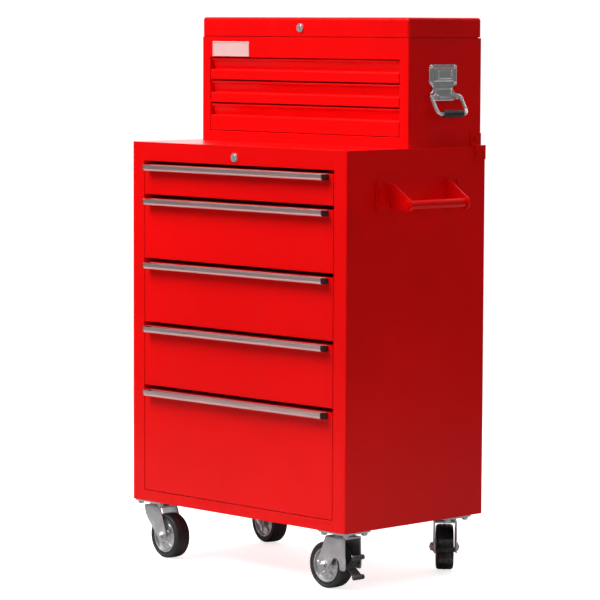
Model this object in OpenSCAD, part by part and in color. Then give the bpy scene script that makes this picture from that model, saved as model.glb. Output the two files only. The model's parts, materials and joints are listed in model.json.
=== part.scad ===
// Rolling tool chest: a five-drawer roller cabinet on four swivel casters, with a three-drawer
// top chest whose lid is hinged at the back.
// The front faces -Y, +X is the right-hand side seen from the front, +Z is up, the floor is Z = 0.

/* [Cabinet body] */
// Width of the roller cabinet body
cabinet_w = 672; // [540:1:900]
// Depth of the roller cabinet body
cabinet_d = 420; // [340:1:600]
// Height of the cabinet body, casters left out
cabinet_h = 798; // [660:1:1000]
// Thickness of the painted sheet
sheet = 1.2; // [0.8:0.1:1.6]
// Outside radius of the upright sheet bends
bend_r = 3; // [2:0.5:6]
// Face width of the two front posts
post_w = 38; // [28:1:44]
// Height of the rail above the top drawer
top_rail_h = 41; // [34:1:60]
// Height of the rail below the bottom drawer
bottom_rail_h = 24; // [20:1:40]

/* [Cabinet drawers] */
// Height of the bay of the shallow top drawer
shallow_bay_h = 75; // [70:1:100]
// Height of the bay of each of the three middle drawers
middle_bay_h = 141; // [110:1:170]
// Depth of a folded drawer front
front_depth = 18; // [14:1:24]
// How far a pull stands out of its drawer front
pull_reach = 20; // [14:1:28]
// Height of a pull
pull_h = 13; // [12:1:20]
// How far a pull ends short of the drawer opening at each side
pull_inset = 19; // [6:1:30]

/* [Top chest] */
// Inset of the chest from each side of the cabinet
chest_inset = 14; // [6:1:30]
// Depth of the chest, flush with the cabinet at the back
chest_d = 225; // [190:1:300]
// Height of the chest with its lid
chest_h = 275; // [225:1:340]
// Height of the lid
lid_h = 42; // [36:1:60]
// Height of the fixed panel that carries the badge
badge_panel_h = 47; // [42:1:60]
// Height of the rail below the chest drawers
chest_base_h = 22; // [20:1:40]
// How much taller the bottom chest drawer's bay is than the other two
chest_low_extra = 11; // [0:1:20]
// Radius of the lid's upper edges
lid_edge_r = 7; // [4:1:14]

/* [Casters] */
// Overall height of a caster
caster_h = 127; // [118:1:160]
// Wheel radius
wheel_r = 50; // [41:1:54]
// Tyre width
tyre_w = 38; // [30:1:42]
// Distance from the swivel axis back to the wheel axle
caster_trail = 38; // [32:1:44]
// Inset of the swivel axis from the side of the cabinet
caster_inset_x = 44; // [44:1:70]
// Inset of the front casters' swivel axis from the front of the cabinet
caster_inset_front = 41; // [40:1:80]
// Inset of the rear casters' swivel axis from the back of the cabinet
caster_inset_rear = 70; // [40:1:90]

/* [Side handle] */
// Distance between the two arms of the side handle
handle_span = 170; // [140:1:220]
// How far the axis of the bar stands out of the side
handle_reach = 56; // [46:1:80]
// Radius of the bar
bar_r = 9.5; // [8:0.5:12]

/* [Hidden] */
$fn = 48;

paint = [0.80, 0.05, 0.04];
zinc = [0.66, 0.67, 0.69];
chrome = [0.85, 0.86, 0.88];
alloy = [0.78, 0.78, 0.80];
black = [0.07, 0.07, 0.07];
hub_grey = [0.60, 0.62, 0.64];
badge_white = [0.90, 0.90, 0.88];

embed = 0.4;            // how far a welded sheet runs into its neighbour
past = 1;               // how far a cutter runs past what it cuts
running = 0.06;         // radial clearance of a running fit
side_play = 0.3;        // clearance between sliding or turning flat faces

// Cabinet, about its own centre
cab_x = cabinet_w / 2;
cab_y = cabinet_d / 2;
cab_z0 = caster_h;
cab_z1 = caster_h + cabinet_h;
opening_x = cab_x - post_w;
opening_z0 = cab_z0 + bottom_rail_h;
opening_z1 = cab_z1 - top_rail_h;
opening_h = opening_z1 - opening_z0;
upright_d = 40;         // depth of the posts' returns and of the rear uprights
rail_return_d = 16;     // depth of the rails' returns
pan_flange_h = 15;      // height of the flange around the top and floor pans

// Cabinet drawers, counted from the top
bottom_bay_h = opening_h - shallow_bay_h - 3 * middle_bay_h;
bays = [shallow_bay_h, middle_bay_h, middle_bay_h, middle_bay_h, bottom_bay_h];
function bay_top(i) = i == 0 ? opening_z1 : bay_top(i - 1) - bays[i - 1];
function bay_bottom(i) = bay_top(i) - bays[i];
front_side_gap = 2;     // gap between a drawer front and a post
front_low_gap = 1.5;    // gap below a drawer front
front_high_gap = 8;     // finger gap above a drawer front
front_wall_gap = 7;     // gap above the wall behind the finger gap
box_low_gap = 6;        // height of the drawer box's underside above its bay
box_high_gap = 20;      // height of bay left free above the box's sides
box_back_gap = 24;      // room behind the drawer box

// Ball-bearing slides: outer, middle and inner members nest in each other
slide_w = 12.7;
slide_metal = 1.2;
slide_half_h = 22.5;
slide_lift = 30;        // height of the slide's centre line above its bay
slide_y0 = -cab_y + front_depth + 4;
slide_y1 = cab_y - 18;
slide_outer_tip = 9.5;
slide_middle_root = 2;
slide_middle_tip = 10.8;
slide_inner_root = 4;
middle_half_h = slide_half_h - slide_metal - side_play;
inner_half_h = middle_half_h - slide_metal - side_play;
box_x = opening_x - slide_w;
box_y0 = -cab_y + front_depth;
box_y1 = cab_y - box_back_gap;
middle_len = slide_y1 - slide_y0 - 40;

// Pulls
pull_x = opening_x - pull_inset;
pull_metal = 1.5;
pull_bend_r = 6;

// Top chest
chest_x = cab_x - chest_inset;
chest_y0 = cab_y - chest_d;
chest_y1 = cab_y;
chest_yc = (chest_y0 + chest_y1) / 2;
chest_z0 = cab_z1;
chest_z1 = chest_z0 + chest_h;
lid_z0 = chest_z1 - lid_h;
lid_gap = 1.5;
chest_body_z1 = lid_z0 - lid_gap;
chest_post_w = 26;
chest_opening_x = chest_x - chest_post_w;
chest_opening_z0 = chest_z0 + chest_base_h;
chest_opening_z1 = lid_z0 - badge_panel_h;
chest_bay_h = (chest_opening_z1 - chest_opening_z0 - chest_low_extra) / 3;
chest_bays = [chest_bay_h, chest_bay_h, chest_bay_h + chest_low_extra];
function chest_bay_bottom(i) = chest_opening_z1 - (i + 1) * chest_bay_h - (i == 2 ? chest_low_extra : 0);
chest_upright_d = 26;
chest_rim_w = 8;
deck_flange_h = 10;
floor_flange_h = 12;

// Chest drawers and their two-part runners
chest_front_depth = 15;
lip_r = 3;              // radius of the rolled lip
lip_setback = 3;        // how far the lip sits behind the face
groove_h = 25;          // height taken by the lip and the finger groove
face_edge_r = 4;        // radius of the face's upper edge
slant_t = 2;            // thickness along y of the groove's slanted wall
runner_w = 10;
runner_half_h = 15;
runner_tip = 8.8;
runner_inner_root = 1.8;
runner_inner_half_h = runner_half_h - slide_metal - side_play;
runner_lift = 20;
chest_box_x = chest_opening_x - runner_w;
chest_box_y0 = chest_y0 + chest_front_depth;
chest_box_y1 = chest_y1 - 25;
chest_runner_y0 = chest_box_y0 + 2;
chest_runner_y1 = chest_y1 - 12;
chest_box_gap = 19;     // height of bay left free above the sides of a drawer box

// Lid hinge: a knuckle hinge the length of the back
hinge_r = 3;
hinge_pin_r = 1.5;
hinge_leaf = 1.2;
hinge_leaf_h = 18;
hinge_half_w = chest_x - 22;
knuckles = 13;
knuckle_gap = 0.4;
hinge_y = chest_y1 + hinge_r;
hinge_z = lid_z0 - lid_gap / 2;

// Locks: a flanged barrel with a turning plug
lock_r = 9.5;
lock_face = 2.5;
lock_body_r = 8;
lock_body_len = 20;
plug_r = 5.6;
plug_face = 0.6;
cam_len = 14;
cam_t = 2;
cabinet_lock = [-5, -cab_y, cab_z1 - 25];
lid_lock = [-6, chest_y0, lid_z0 + lid_h * 0.45];

// Badge
badge_w = 118;
badge_h = 33;
badge_t = 2;
badge_x0 = -chest_x + 36;
badge_z0 = chest_opening_z1 + 2;

// Chest side handles
bail_y = chest_yc - 8;
bail_pivot_h = 108;     // height of the pivot above the chest's underside
bail_pivot_z = chest_z0 + bail_pivot_h;
bail_pivot_out = 9;
bail_half_w = 45;
bail_drop = 42;
bail_lean = 30;         // angle from upright at which the bail rests on its stop
bail_r = 3.8;
bail_pin_r = 3;
bail_corner_r = 11;
lug_half_gap = 29;
lug_t = 9;
lug_r = 6.5;
grip_r = 8.2;
grip_half_w = 29;
plate_t = 1.6;

// Tie brackets between chest and cabinet
tie_w = 32;
tie_t = 2.5;
tie_leg_h = 28;
tie_y0 = cab_y - tie_w - 2;
screw_r = 5;
screw_h = 3;

// Side handle on the right of the cabinet
arm_t = 4;
flange_t = 3;
flange_w = 42;
handle_z = cab_z1 - 114;
flange_z0 = handle_z - 12;
flange_h = 62;
arm_y = handle_span / 2;
handle_bolt_r = 5;
handle_bolt_h = 4;
boss_r = bar_r + 4.5;

// Casters. Corner order: front left, front right, rear left, rear right
caster_x = cab_x - caster_inset_x;
caster_y0 = -cab_y + caster_inset_front;
caster_y1 = cab_y - caster_inset_rear;
caster_at = [[-caster_x, caster_y0], [caster_x, caster_y0], [-caster_x, caster_y1], [caster_x, caster_y1]];
caster_turn = [-4, 180, -10, 135];  // direction in which each wheel trails at rest
plate_z = 4;
plate_x = 84;
plate_y = 72;
bolt_dx = 33;
bolt_dy = 27;
bolt_r = 4;
bolt_hole_r = 4.2;
bolt_head_r = 6.8;
bolt_head_h = 5;
nut_h = 6;
race_r = 22;
race_h = 5.3;
kingpin_r = 6;
kingpin_head_r = 10;
kingpin_head_h = 3;
fork_t = 3;
fork_top_z = caster_h - plate_z - race_h - side_play;
fork_crown_t = 5.4;
fork_race_h = 2.4;
leg_gap = tyre_w / 2 + 3;
axle_r = 5;
axle_nut_r = 9;
axle_nut_h = 5;
hub_r = 0.74 * wheel_r;
hub_w = tyre_w - 3;
hub_boss_r = 12;
tyre_shoulder = 5;
pedal_x = caster_trail - wheel_r - 7;
pedal_z = wheel_r + 3;
pedal_pin_r = 3;
pedal_hub_r = 5.5;
pedal_half_w = leg_gap - 1;
lobe_out = 24;
lobe_spread = 21;
lobe_r = 5;
lobe_half_w = 15;

// The whole part is centred on its own bounding box
reach_right = cab_x + handle_reach + boss_r;
reach_left = max(cab_x + tie_t, chest_x + bail_pivot_out + bail_drop * sin(bail_lean) + grip_r);
reach_front = cab_y + pull_reach;
reach_rear = hinge_y + hinge_r;
shift_x = (reach_left - reach_right) / 2;
shift_y = (reach_front - reach_rear) / 2;

module place() {
    translate([shift_x, shift_y, 0]) children();
}

module both_sides() {
    children();
    mirror([1, 0, 0]) children();
}

// A box given by its two opposite corners
module span(low, high) {
    translate(low) cube(high - low);
}

// An upright box with rounded upright edges, centred on x = 0
module upright_box(half_x, y0, y1, z0, z1, r) {
    span([-half_x + r, y0, z0], [half_x - r, y1, z1]);
    span([-half_x, y0 + r, z0], [half_x, y1 - r, z1]);
    for (x = [-half_x + r, half_x - r])
        for (y = [y0 + r, y1 - r])
            translate([x, y, z0]) cylinder(r = r, h = z1 - z0);
}

// The same box with its upper edges rounded too
module domed_box(half_x, y0, y1, z0, z1, r) {
    upright_box(half_x, y0, y1, z0, z1 - r, r);
    span([-half_x + r, y0 + r, z1 - r - embed], [half_x - r, y1 - r, z1]);
    for (x = [-half_x + r, half_x - r]) {
        translate([x, y0 + r, z1 - r]) rotate([-90, 0, 0]) cylinder(r = r, h = y1 - y0 - 2 * r);
        for (y = [y0 + r, y1 - r])
            translate([x, y, z1 - r]) sphere(r = r);
    }
    for (y = [y0 + r, y1 - r])
        translate([-half_x + r, y, z1 - r]) rotate([0, 90, 0]) cylinder(r = r, h = 2 * (half_x - r));
}

// A channel along y whose web is at x = web_x and whose flanges reach to x = tip_x
module channel(web_x, tip_x, half_h, y0, y1, zc) {
    inward = sign(tip_x - web_x);
    web_end = web_x + inward * slide_metal;
    span([min(web_x, web_end), y0, zc - half_h], [max(web_x, web_end), y1, zc + half_h]);
    for (z = [zc - half_h, zc + half_h - slide_metal])
        span([min(web_x, tip_x), y0, z], [max(web_x, tip_x), y1, z + slide_metal]);
}

// A shallow pan: a plate with a flange all round, turned down or up
module pan(half_x, y0, y1, z_plate, flange_h, up) {
    z0 = up ? z_plate : z_plate + sheet - flange_h;
    cut0 = up ? z_plate + sheet : z0 - past;
    cut1 = up ? z0 + flange_h + past : z_plate;
    difference() {
        upright_box(half_x, y0, y1, z0, z0 + flange_h, bend_r);
        span([-half_x + sheet, y0 + sheet, cut0], [half_x - sheet, y1 - sheet, cut1]);
    }
}

// ---------------------------------------------------------------- cabinet, fixed

module cabinet_shell() color(paint) place() {
    difference() {
        upright_box(cab_x, -cab_y, cab_y, cab_z0, cab_z1, bend_r);
        upright_box(cab_x - sheet, -cab_y + sheet, cab_y - sheet, cab_z0 - past, cab_z1 + past, bend_r - sheet);
        span([-opening_x, -cab_y - past, opening_z0], [opening_x, -cab_y + sheet + past, opening_z1]);
        translate(cabinet_lock + [0, -past, 0])
            rotate([-90, 0, 0]) cylinder(r = lock_body_r, h = sheet + 2 * past);
    }
    both_sides() {
        span([opening_x, -cab_y + sheet - embed, opening_z0 - embed],
             [opening_x + sheet, -cab_y + upright_d, opening_z1 + embed]);
        span([opening_x, cab_y - upright_d, opening_z0],
             [opening_x + sheet, cab_y - sheet + embed, opening_z1]);
    }
    for (z = [opening_z0 - sheet, opening_z1])
        span([-opening_x, -cab_y + sheet - embed, z], [opening_x, -cab_y + rail_return_d, z + sheet]);
}

module cabinet_top() color(paint) place()
    pan(cab_x - sheet, -cab_y + sheet, cab_y - sheet, cab_z1 - sheet, pan_flange_h, false);

module cabinet_floor() color(paint) place()
    difference() {
        pan(cab_x - sheet, -cab_y + sheet, cab_y - sheet, cab_z0, pan_flange_h, true);
        caster_bolt_holes(cab_z0 - past, cab_z0 + sheet + past);
    }

module cabinet_slide_outers() color(zinc) place()
    for (i = [0:4])
        both_sides()
            channel(opening_x, opening_x - slide_outer_tip, slide_half_h,
                    slide_y0, slide_y1, bay_bottom(i) + slide_lift);

module lock_barrel(at) {
    translate(at) rotate([90, 0, 0]) difference() {
        union() {
            cylinder(r = lock_r, h = lock_face);
            translate([0, 0, -lock_body_len]) cylinder(r = lock_body_r, h = lock_body_len + embed);
        }
        translate([0, 0, -lock_body_len - past])
            cylinder(r = plug_r + running, h = lock_body_len + lock_face + 2 * past);
    }
}

module lock_plug(at) {
    translate(at) rotate([90, 0, 0]) difference() {
        union() {
            translate([0, 0, -lock_body_len - side_play])
                cylinder(r = plug_r, h = lock_body_len + side_play + lock_face + plug_face);
            span([-4, -cam_t * 2, -lock_body_len - side_play - cam_t],
                 [cam_len, cam_t * 2, -lock_body_len - side_play]);
            translate([0, 0, -lock_body_len - side_play - cam_t]) cylinder(r = plug_r, h = cam_t + embed);
        }
        span([-0.8, -3.2, lock_face + plug_face - 4], [0.8, 3.2, lock_face + plug_face + past]);
    }
}

module cabinet_lock_barrel() color(chrome) place() lock_barrel(cabinet_lock);

module cabinet_lock_plug() color(chrome) place() lock_plug(cabinet_lock);

// One end of the side handle: a bolted flange and a sloping arm. Drawn for the front end.
module handle_bracket() {
    span([cab_x, -arm_y - flange_w, flange_z0], [cab_x + flange_t, -arm_y, flange_z0 + flange_h]);
    difference() {
        union() {
            translate([cab_x, -arm_y, handle_z]) rotate([90, 0, 0]) linear_extrude(arm_t)
                polygon([
                    [0, -9], [handle_reach, -boss_r + 1.5], [handle_reach + boss_r - 1.5, 4],
                    [handle_reach + 4, boss_r - 1], [20, 40], [0, 46]
                ]);
            translate([cab_x + handle_reach, -arm_y, handle_z]) rotate([90, 0, 0])
                cylinder(r = boss_r, h = arm_t);
        }
        translate([cab_x + handle_reach, -arm_y + past, handle_z]) rotate([90, 0, 0])
            cylinder(r = bar_r + running, h = arm_t + 2 * past);
    }
}

module side_handle_bracket_front() color(paint) place() handle_bracket();

module side_handle_bracket_rear() color(paint) place() mirror([0, 1, 0]) handle_bracket();

module side_handle_bar() color(paint) place()
    translate([cab_x + handle_reach, 0, handle_z]) rotate([90, 0, 0]) {
        cylinder(r = bar_r, h = 2 * (arm_y + arm_t + 1), center = true);
        for (side = [-1, 1])
            translate([0, 0, side * (arm_y + arm_t + 1)])
                cylinder(r = bar_r - 2, h = 2, center = true);
    }

function bolt_spots() = [for (dx = [-bolt_dx, bolt_dx]) for (dy = [-bolt_dy, bolt_dy]) [dx, dy]];

module caster_bolt_holes(z0, z1) {
    for (c = caster_at)
        for (b = bolt_spots())
            translate([c[0] + b[0], c[1] + b[1], z0]) cylinder(r = bolt_hole_r, h = z1 - z0);
}

module caster_bolt() {
    nut_z0 = cab_z0 - plate_z - nut_h;
    translate([0, 0, nut_z0 - 1]) cylinder(r = bolt_r, h = cab_z0 + sheet - nut_z0 + 1 + embed);
    translate([0, 0, cab_z0 + sheet]) cylinder(r = bolt_head_r, h = bolt_head_h, $fn = 6);
    translate([0, 0, nut_z0]) cylinder(r = bolt_head_r, h = nut_h, $fn = 6);
}

// Spots of the five bolts in each handle flange, from its outer lower corner
handle_spots = [[7, 8], [flange_w - 9, 8], [7, flange_h / 2], [7, flange_h - 9], [flange_w - 9, flange_h - 9]];

module fixing_bolts() color(zinc) place() {
    for (c = caster_at)
        for (b = bolt_spots())
            translate([c[0] + b[0], c[1] + b[1], 0]) caster_bolt();
    for (end = [-1, 1])
        for (s = handle_spots)
            translate([cab_x + flange_t, end * (arm_y + flange_w - s[0]), flange_z0 + s[1]])
                rotate([0, 90, 0]) cylinder(r = handle_bolt_r, h = handle_bolt_h, $fn = 6);
    both_sides() {
        for (y = [tie_y0 + tie_w * 0.28, tie_y0 + tie_w * 0.72])
            translate([cab_x + tie_t, y, cab_z1 - tie_leg_h / 2]) rotate([0, 90, 0])
                cylinder(r = screw_r, h = screw_h);
        translate([chest_x + tie_t, tie_y0 + tie_w / 2, chest_z0 + tie_leg_h * 0.62]) rotate([0, 90, 0])
            cylinder(r = screw_r, h = screw_h);
    }
}

module tie_brackets() color(paint) place()
    both_sides() {
        span([cab_x, tie_y0, cab_z1 - tie_leg_h], [cab_x + tie_t, tie_y0 + tie_w, cab_z1 + tie_t]);
        span([chest_x, tie_y0, cab_z1], [cab_x + tie_t, tie_y0 + tie_w, cab_z1 + tie_t]);
        span([chest_x, tie_y0, cab_z1], [chest_x + tie_t, tie_y0 + tie_w, cab_z1 + tie_leg_h]);
    }

// ---------------------------------------------------------------- cabinet drawers

// A folded drawer front: a tray open at the back
module drawer_front(i) {
    half = opening_x - front_side_gap;
    z0 = bay_bottom(i) + front_low_gap;
    z1 = bay_top(i) - front_high_gap;
    difference() {
        span([-half, -cab_y, z0], [half, -cab_y + front_depth, z1]);
        span([-half + sheet, -cab_y + sheet, z0 + sheet],
             [half - sheet, -cab_y + front_depth + past, z1 - sheet]);
    }
}

module cabinet_drawer(i) {
    z0 = bay_bottom(i) + box_low_gap;
    z1 = bay_top(i) - box_high_gap;
    front_half = opening_x - front_side_gap - embed;
    drawer_front(i);
    // front wall of the box, which also closes the finger gap from behind
    span([-front_half, box_y0 - sheet, z0], [front_half, box_y0, bay_top(i) - front_wall_gap]);
    difference() {
        span([-box_x, box_y0 - embed, z0], [box_x, box_y1, z1]);
        span([-box_x + sheet, box_y0, z0 + sheet], [box_x - sheet, box_y1 - sheet, z1 + past]);
    }
    both_sides()
        channel(box_x, opening_x - slide_inner_root, inner_half_h,
                box_y0 + 2, box_y1 - 2, bay_bottom(i) + slide_lift);
}

module cabinet_drawer_1() color(paint) place() cabinet_drawer(0);
module cabinet_drawer_2() color(paint) place() cabinet_drawer(1);
module cabinet_drawer_3() color(paint) place() cabinet_drawer(2);
module cabinet_drawer_4() color(paint) place() cabinet_drawer(3);
module cabinet_drawer_5() color(paint) place() cabinet_drawer(4);

// A bar along x whose lower front edge is rounded
module rounded_bar(half_x, y0, y1, z0, z1, r) {
    span([-half_x, y0 + r, z0], [half_x, y1, z1]);
    span([-half_x, y0, z0 + r], [half_x, y1, z1]);
    translate([-half_x, y0 + r, z0 + r]) rotate([0, 90, 0]) cylinder(r = r, h = 2 * half_x);
}

// A pull: an upward-open trough along the top of the drawer front
module cabinet_pull(i) {
    z1 = bay_top(i) - front_high_gap - 0.5;
    z0 = z1 - pull_h;
    y0 = -cab_y - pull_reach;
    difference() {
        rounded_bar(pull_x, y0, -cab_y, z0, z1, pull_bend_r);
        rounded_bar(pull_x + past, y0 + pull_metal, -cab_y - pull_metal, z0 + pull_metal, z1 + past,
                    pull_bend_r - pull_metal);
    }
}

module cabinet_pull_1() color(alloy) place() cabinet_pull(0);
module cabinet_pull_2() color(alloy) place() cabinet_pull(1);
module cabinet_pull_3() color(alloy) place() cabinet_pull(2);
module cabinet_pull_4() color(alloy) place() cabinet_pull(3);
module cabinet_pull_5() color(alloy) place() cabinet_pull(4);

module slide_middle(i)
    both_sides()
        channel(opening_x - slide_middle_root, opening_x - slide_middle_tip, middle_half_h,
                slide_y0 + 2, slide_y0 + 2 + middle_len, bay_bottom(i) + slide_lift);

module slide_middle_1() color(zinc) place() slide_middle(0);
module slide_middle_2() color(zinc) place() slide_middle(1);
module slide_middle_3() color(zinc) place() slide_middle(2);
module slide_middle_4() color(zinc) place() slide_middle(3);
module slide_middle_5() color(zinc) place() slide_middle(4);

// ---------------------------------------------------------------- top chest

module chest_shell() color(paint) place() {
    difference() {
        upright_box(chest_x, chest_y0, chest_y1, chest_z0, chest_body_z1, bend_r);
        upright_box(chest_x - sheet, chest_y0 + sheet, chest_y1 - sheet,
                    chest_z0 - past, chest_body_z1 - sheet, bend_r - sheet);
        span([-chest_x + chest_rim_w, chest_y0 + chest_rim_w, chest_body_z1 - sheet - past],
             [chest_x - chest_rim_w, chest_y1 - chest_rim_w, chest_body_z1 + past]);
        span([-chest_opening_x, chest_y0 - past, chest_opening_z0],
             [chest_opening_x, chest_y0 + sheet + past, chest_opening_z1]);
    }
    both_sides() {
        span([chest_opening_x, chest_y0 + sheet - embed, chest_opening_z0 - embed],
             [chest_opening_x + sheet, chest_y0 + chest_front_depth + chest_upright_d, chest_opening_z1 - side_play]);
        span([chest_opening_x, chest_y1 - chest_upright_d, chest_opening_z0],
             [chest_opening_x + sheet, chest_y1 - sheet + embed, chest_opening_z1 - side_play]);
    }
    span([-chest_opening_x, chest_y0 + sheet - embed, chest_opening_z0 - sheet],
         [chest_opening_x, chest_y0 + chest_front_depth, chest_opening_z0]);
}

module chest_floor() color(paint) place()
    pan(chest_x - sheet, chest_y0 + sheet, chest_y1 - sheet, chest_z0, floor_flange_h, true);

module chest_deck() color(paint) place()
    pan(chest_x - sheet, chest_y0 + sheet, chest_y1 - sheet, chest_opening_z1, deck_flange_h, true);

module chest_runners() color(zinc) place()
    for (i = [0:2])
        both_sides()
            channel(chest_opening_x, chest_opening_x - runner_tip, runner_half_h,
                    chest_runner_y0, chest_runner_y1, chest_bay_bottom(i) + runner_lift);

// A chest drawer front: rolled lip, finger groove below it, then the face
module chest_drawer_front(i) {
    half = chest_opening_x - front_side_gap;
    z0 = chest_bay_bottom(i) + front_low_gap;
    z1 = z0 + chest_bays[i] - 3;
    face_z1 = z1 - groove_h;
    lip_y = chest_y0 + lip_setback + lip_r;
    back_y = chest_y0 + chest_front_depth;
    // lip, and the wall that slants back from it to the floor of the groove
    translate([-half, lip_y, z1 - lip_r]) rotate([0, 90, 0]) cylinder(r = lip_r, h = 2 * half);
    translate([-half, 0, 0]) rotate([90, 0, 90]) linear_extrude(2 * half)
        polygon([
            [lip_y, z1], [lip_y + slant_t, z1], [back_y, face_z1], [back_y, face_z1 - sheet],
            [back_y - slant_t, face_z1 - sheet], [lip_y, z1 - 2 * lip_r]
        ]);
    // floor of the groove and the rounded upper edge of the face
    span([-half, chest_y0 + face_edge_r, face_z1 - sheet], [half, back_y, face_z1]);
    difference() {
        translate([-half, chest_y0 + face_edge_r, face_z1 - face_edge_r])
            rotate([0, 90, 0]) cylinder(r = face_edge_r, h = 2 * half);
        translate([-half - past, chest_y0 + face_edge_r, face_z1 - face_edge_r])
            rotate([0, 90, 0]) cylinder(r = face_edge_r - sheet, h = 2 * half + 2 * past);
        span([-half - past, chest_y0 + face_edge_r, z0], [half + past, back_y, face_z1 - sheet]);
        span([-half - past, chest_y0 - past, z0], [half + past, back_y, face_z1 - face_edge_r]);
    }
    span([-half, chest_y0, z0], [half, chest_y0 + sheet, face_z1 - face_edge_r]);
    span([-half, chest_y0, z0], [half, back_y, z0 + sheet]);
}

module chest_drawer(i) {
    z0 = chest_bay_bottom(i) + front_low_gap + sheet;
    z1 = z0 + chest_bays[i] - chest_box_gap;
    half = chest_opening_x - front_side_gap;
    chest_drawer_front(i);
    span([-half, chest_box_y0 - sheet, z0 - embed], [half, chest_box_y0, z1]);
    difference() {
        span([-chest_box_x, chest_box_y0 - embed, z0], [chest_box_x, chest_box_y1, z1]);
        span([-chest_box_x + sheet, chest_box_y0, z0 + sheet],
             [chest_box_x - sheet, chest_box_y1 - sheet, z1 + past]);
    }
    both_sides()
        channel(chest_box_x, chest_opening_x - runner_inner_root, runner_inner_half_h,
                chest_box_y0 + 3, chest_box_y1 - 1, chest_bay_bottom(i) + runner_lift);
}

module chest_drawer_1() color(paint) place() chest_drawer(0);
module chest_drawer_2() color(paint) place() chest_drawer(1);
module chest_drawer_3() color(paint) place() chest_drawer(2);

module chest_lid() color(paint) place()
    difference() {
        domed_box(chest_x, chest_y0, chest_y1, lid_z0, chest_z1, lid_edge_r);
        domed_box(chest_x - sheet, chest_y0 + sheet, chest_y1 - sheet, lid_z0 - past, chest_z1 - sheet,
                  lid_edge_r - sheet);
        translate(lid_lock + [0, -past, 0])
            rotate([-90, 0, 0]) cylinder(r = lock_body_r, h = sheet + 2 * past);
    }

knuckle_w = 2 * hinge_half_w / knuckles;

// Every other knuckle of the hinge, starting at first, with the tabs that join them to a leaf
module hinge_knuckles(first, bore_r, leaf_side) {
    for (k = [first:2:knuckles - 1])
        difference() {
            union() {
                translate([-hinge_half_w + k * knuckle_w + knuckle_gap / 2, hinge_y, hinge_z])
                    rotate([0, 90, 0]) cylinder(r = hinge_r, h = knuckle_w - knuckle_gap);
                span([-hinge_half_w + k * knuckle_w + knuckle_gap / 2, chest_y1,
                      hinge_z + min(0, leaf_side * (hinge_r + 1))],
                     [-hinge_half_w + (k + 1) * knuckle_w - knuckle_gap / 2, chest_y1 + hinge_leaf,
                      hinge_z + max(0, leaf_side * (hinge_r + 1))]);
            }
            if (bore_r > 0)
                translate([-hinge_half_w - past, hinge_y, hinge_z])
                    rotate([0, 90, 0]) cylinder(r = bore_r, h = 2 * (hinge_half_w + past));
        }
}

module lid_hinge_lower() color(zinc) place() {
    span([-hinge_half_w, chest_y1, hinge_z - hinge_r - 0.5 - hinge_leaf_h],
         [hinge_half_w, chest_y1 + hinge_leaf, hinge_z - hinge_r - 0.5]);
    hinge_knuckles(0, 0, -1);
    translate([-hinge_half_w, hinge_y, hinge_z])
        rotate([0, 90, 0]) cylinder(r = hinge_pin_r, h = 2 * hinge_half_w);
}

module lid_hinge_upper() color(zinc) place() {
    span([-hinge_half_w, chest_y1, hinge_z + hinge_r + 0.5],
         [hinge_half_w, chest_y1 + hinge_leaf, hinge_z + hinge_r + 0.5 + hinge_leaf_h]);
    hinge_knuckles(1, hinge_pin_r + running, 1);
}

module lid_lock_barrel() color(chrome) place() lock_barrel(lid_lock);

module lid_lock_plug() color(chrome) place() lock_plug(lid_lock);

module badge_plate() color(badge_white) place()
    difference() {
        span([badge_x0, chest_y0 - badge_t, badge_z0], [badge_x0 + badge_w, chest_y0, badge_z0 + badge_h]);
        span([badge_x0 + 3, chest_y0 - badge_t - past, badge_z0 + 3],
             [badge_x0 + badge_w - 3, chest_y0 - badge_t + 0.6, badge_z0 + badge_h - 3]);
    }

// A plate lying on the right side of the chest with rounded corners, standing out by t
module side_plate(half_y, z0, z1, t, r) {
    span([chest_x, bail_y - half_y + r, z0], [chest_x + t, bail_y + half_y - r, z1]);
    span([chest_x, bail_y - half_y, z0 + r], [chest_x + t, bail_y + half_y, z1 - r]);
    for (y = [-half_y + r, half_y - r])
        for (z = [z0 + r, z1 - r])
            translate([chest_x, bail_y + y, z]) rotate([0, 90, 0]) cylinder(r = r, h = t);
}

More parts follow.
